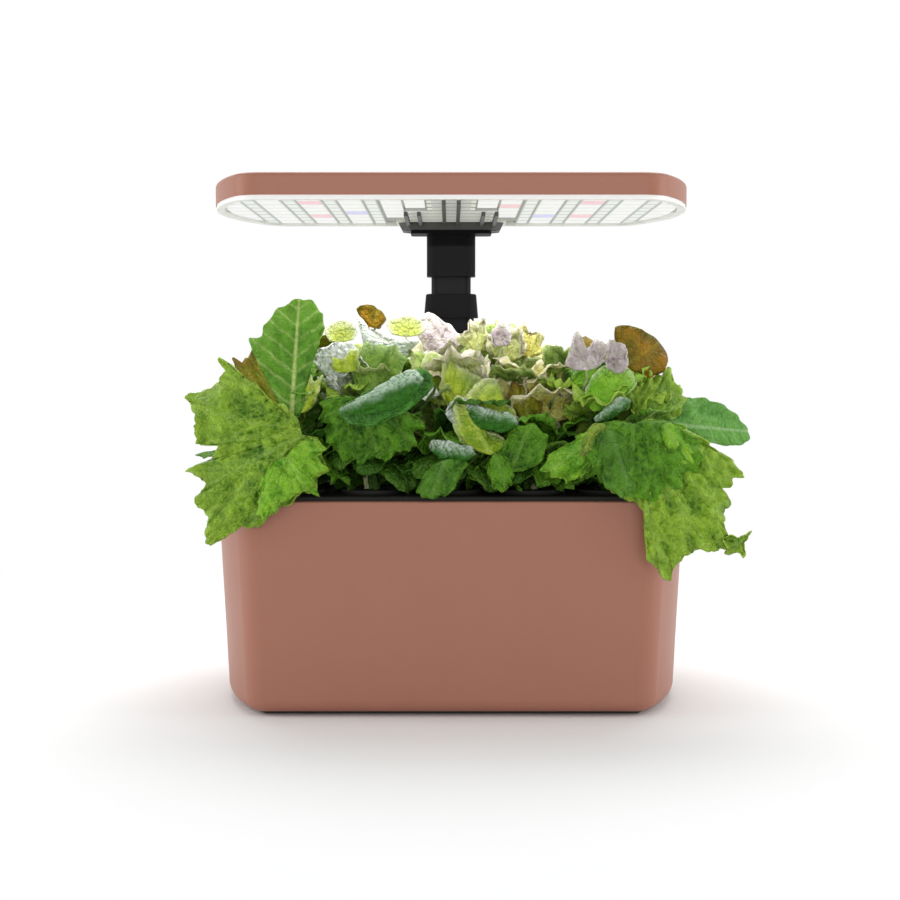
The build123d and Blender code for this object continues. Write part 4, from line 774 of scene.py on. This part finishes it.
def frontFacing(root, lean, turn):
    return Matrix(((1, 0, 0, root[0]), (turn, 1, lean, root[1]), (0, 0, 1, root[2]), (0, 0, 0, 1)))


def outward(root, heading, tilt):
    along = Vector((math.sin(tilt) * math.cos(heading), math.sin(tilt) * math.sin(heading), math.cos(tilt)))
    face = Vector((-math.cos(tilt) * math.cos(heading), -math.cos(tilt) * math.sin(heading), math.sin(tilt)))
    side = along.cross(face)
    placing = Matrix((side, -face, along)).transposed().to_4x4()
    placing.translation = root
    return placing, along


def mirrored(half):
    return [(-angle, part) for angle, part in reversed(half)] + [(0, 1.0)] + half


shapes = {
    "broad": mirrored([(14, 0.97), (38, 0.78), (62, 0.42), (100, 0.12)]),
    "slim": mirrored([(9, 0.94), (24, 0.66), (45, 0.3), (90, 0.1)]),
}


def uneven(shape, reach, limits, chance):
    return [(angle, part * reach * chance.uniform(*limits)) for angle, part in shapes[shape]]


# a leaf on its own stalk, leaning out from the crown
def growOutward(kind, crown, root, placing, along, lobes, skin, bend, chance):
    habit = usualLeaf["habit"] if kind == "tuft" else habitOf.get(skin, usualLeaf["habit"])
    return [growBlade(lobes, habit, skin, 0, placing, filling["step"][kind], chance, bend),
            growStalk(crown, root, along, kind, skin)]


def growPlant(number):
    low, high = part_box(f"net_cup_{number}")
    crown = Vector(((low.x + high.x) / 2, (low.y + high.y) / 2, high.z)) / mm
    chance = random.Random(filling["seed"] + number)
    parts = []
    for own in grown.values():
        if own["plant"] != number:
            continue
        leaf = {**usualLeaf, **own}
        root = Vector(leaf["root"])
        placing = frontFacing(root, leaf["lean"], leaf["turn"])
        parts.append(growBlade(leaf["lobes"], leaf["habit"], leaf["skin"], leaf["rib"], placing,
                               filling["step"]["shown"], chance))
        rib = math.radians(leaf["rib"])
        back = stalkForm["back"] + leaf["lean"] * math.cos(rib)
        heading = Vector((math.sin(rib), back, math.cos(rib)))
        scatter = stalkForm["scatter"]
        start = crown + Vector((chance.uniform(-scatter, scatter), chance.uniform(-scatter, scatter), 0))
        if "branch" in leaf:
            start = Vector(leaf["branch"])
        parts.append(growStalk(start, root, heading, "shown", leaf["skin"]))
    row = filling["front" if number < 6 else "rear"]
    for turn in range(row["count"]):
        share = turn / (row["count"] - 1)
        heading = math.radians(turn * filling["golden"] + number * filling["shift"])
        shyness = 1 - filling["shyness"] * max(0, math.sin(heading) * row["shy"])
        tilt = math.radians(row["tilt"][0] + (row["tilt"][1] - row["tilt"][0]) * share) * shyness
        stem = row["stem"][0] + (row["stem"][1] - row["stem"][0]) * share
        reach = chance.uniform(*row["reach"])
        skin = chance.choice(outerSkins if share > 0.5 else innerSkins[number])
        lobes = uneven("slim" if skin in slimSkins else "broad", reach, filling["uneven"], chance)
        root = crown + outward(crown, heading, tilt)[1] * stem
        bend = chance.uniform(*filling["bend"])
        parts += growOutward("inner", crown, root, *outward(root, heading, tilt), lobes, skin, bend, chance)
    skirt = filling["skirt"]
    for turn in range(skirt["count"]):
        heading = math.tau * (turn + chance.uniform(-skirt["wander"], skirt["wander"])) / skirt["count"]
        shyness = 1 - skirt["shyness"] * max(0, math.sin(heading) * row["shy"])
        tilt = math.radians(chance.uniform(*skirt["tilt"]))
        rise = chance.uniform(*skirt["rise"])
        aside = Vector((math.cos(heading), math.sin(heading), 0)) * skirt["out"] * shyness
        root = crown + aside + Vector((0, 0, rise))
        lobes = uneven("broad", chance.uniform(*skirt["reach"]) * shyness, skirt["uneven"], chance)
        skin = chance.choice(lowShadeSkins)
        bend = chance.uniform(*skirt["bend"])
        parts += growOutward("low", crown, root, *outward(root, heading, tilt), lobes, skin, bend, chance)
    tuft = filling["tuft"]
    for turn in range(tuft["count"] if number in tuftSkins else 0):
        heading = math.radians(turn * filling["golden"] + number * tuft["shift"])
        tilt = math.radians(chance.uniform(*tuft["tilt"])) * (turn / tuft["count"]) ** 0.5
        root = crown + outward(crown, heading, tilt)[1] * chance.uniform(*tuft["stem"])
        placing, along = outward(root, heading, math.radians(chance.uniform(*tuft["face"])))
        lobes = uneven("broad", chance.uniform(*tuft["reach"]), tuft["uneven"], chance)
        skin = chance.choice(tuftSkins[number])
        bend = chance.uniform(*tuft["bend"])
        parts += growOutward("tuft", crown, root, placing, along, lobes, skin, bend, chance)
    deselect()
    for part in parts:
        part.select_set(True)
    bpy.context.view_layer.objects.active = parts[0]
    bpy.ops.object.join()
    plant = bpy.context.active_object
    plant.name = f"leaves_{number}"
    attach(plant, "housing")
    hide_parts(f"lettuce_{number}")


for number in range(1, 11):
    growPlant(number)
print("garden: lettuces grown")


# camera: at two thirds of the lamp's height, tipped down slightly
cameraView = {"place": (-0.0008, -1.04145, 0.2288), "down": 3.39, "lens": 60, "sensor": 36, "nearest": 0.01}
camera = bpy.data.cameras.new("camera")
camera.lens = cameraView["lens"]
camera.sensor_width = cameraView["sensor"]
camera.clip_start = cameraView["nearest"]
viewer = bpy.data.objects.new("camera", camera)
viewer.location = cameraView["place"]
viewer.rotation_euler = (math.radians(90 - cameraView["down"]), 0, 0)
bpy.context.scene.collection.objects.link(viewer)
bpy.context.scene.camera = viewer


# stage: a pale floor that fades into a white surround, which lights the garden more softly than it looks
stageLook = {"floorSize": 12, "paper": (0.91, 0.92, 0.92), "fadeFrom": 0.22, "fadeTo": 0.75,
             "white": (1, 1, 1), "softness": 0.55}
deselect()
bpy.ops.mesh.primitive_plane_add(size=stageLook["floorSize"], location=(0, 0, 0))
floor = bpy.context.active_object
floor.name = "floor"
paperLook = Finish("floorPaper")
across, deep = paperLook.axes(paperLook.place())[:2]
fade = paperLook.smooth((across * across + deep * deep) ** 0.5, stageLook["fadeFrom"], stageLook["fadeTo"])
seen = paperLook.add("LightPath", 0)
white = paperLook.add("Emission", 0, None, Color=stageLook["white"], Strength=1.0)
paper = paperLook.add("BsdfDiffuse", 0, None, Color=stageLook["paper"])
faded = paperLook.tree.nodes.new("ShaderNodeMixShader")
for slot, item in zip(faded.inputs, (fade * seen, paper, white)):
    paperLook.tree.links.new(item.socket, slot)
paperLook.tree.links.new(faded.outputs[0], paperLook.tree.nodes["Material Output"].inputs["Surface"])
floor.data.materials.append(paperLook.material)

world = bpy.data.worlds.new("surround")
bpy.context.scene.world = world
world.use_nodes = True
skyTree = world.node_tree
soft = skyTree.nodes["Background"]
plain = skyTree.nodes.new("ShaderNodeBackground")
for background, strength in ((soft, stageLook["softness"]), (plain, 1.0)):
    background.inputs["Color"].default_value = (*stageLook["white"], 1)
    background.inputs["Strength"].default_value = strength
path = skyTree.nodes.new("ShaderNodeLightPath")
either = skyTree.nodes.new("ShaderNodeMath")
either.operation = "MAXIMUM"
skyTree.links.new(path.outputs["Is Camera Ray"], either.inputs[0])
skyTree.links.new(path.outputs["Is Glossy Ray"], either.inputs[1])
choose = skyTree.nodes.new("ShaderNodeMixShader")
for slot, socket in zip(choose.inputs, (either.outputs[0], soft.outputs[0], plain.outputs[0])):
    skyTree.links.new(socket, slot)
skyTree.links.new(choose.outputs[0], skyTree.nodes["World Output"].inputs["Surface"])


# studio lights
def softbox(name, place, aim, width, height, power):
    light = bpy.data.lights.new(name, "AREA")
    light.shape = "RECTANGLE"
    light.size = width
    light.size_y = height
    light.energy = power
    lamp = bpy.data.objects.new(name, light)
    lamp.location = place
    lamp.rotation_euler = (Vector(aim) - Vector(place)).to_track_quat("-Z", "Y").to_euler()
    bpy.context.scene.collection.objects.link(lamp)
    return lamp


studio = {  # place, aim, width, height and power
    "leftStrip": ((-1.3, -0.15, 0.35), (0, 0, 0.12), 0.5, 1.4, 8),
    "rightStrip": ((1.3, -0.15, 0.35), (0, 0, 0.12), 0.5, 1.4, 8),
    "topSheet": ((0, 0.7, 1.5), (0, 0, 0.1), 1.6, 1.0, 16),
    "frontSheet": ((0, -2.6, 0.5), (0, 0, 0.15), 2.4, 0.9, 16),
}
for name, (place, aim, width, height, power) in studio.items():
    softbox(name, place, aim, width, height, power)
growLight = {"below": 0.02, "width": 0.28, "depth": 0.15, "power": 0.55}
low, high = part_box("led_board")
middle = (low.y + high.y) / 2
glow = softbox("growLight", (0, middle, low.z - growLight["below"]), (0, middle, 0), growLight["width"],
               growLight["depth"], growLight["power"])
glow.visible_camera = False
glow.visible_glossy = False
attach(glow, "lamp_head")
bpy.context.scene.view_settings.view_transform = "Standard"
print("garden: camera, stage and lights set")
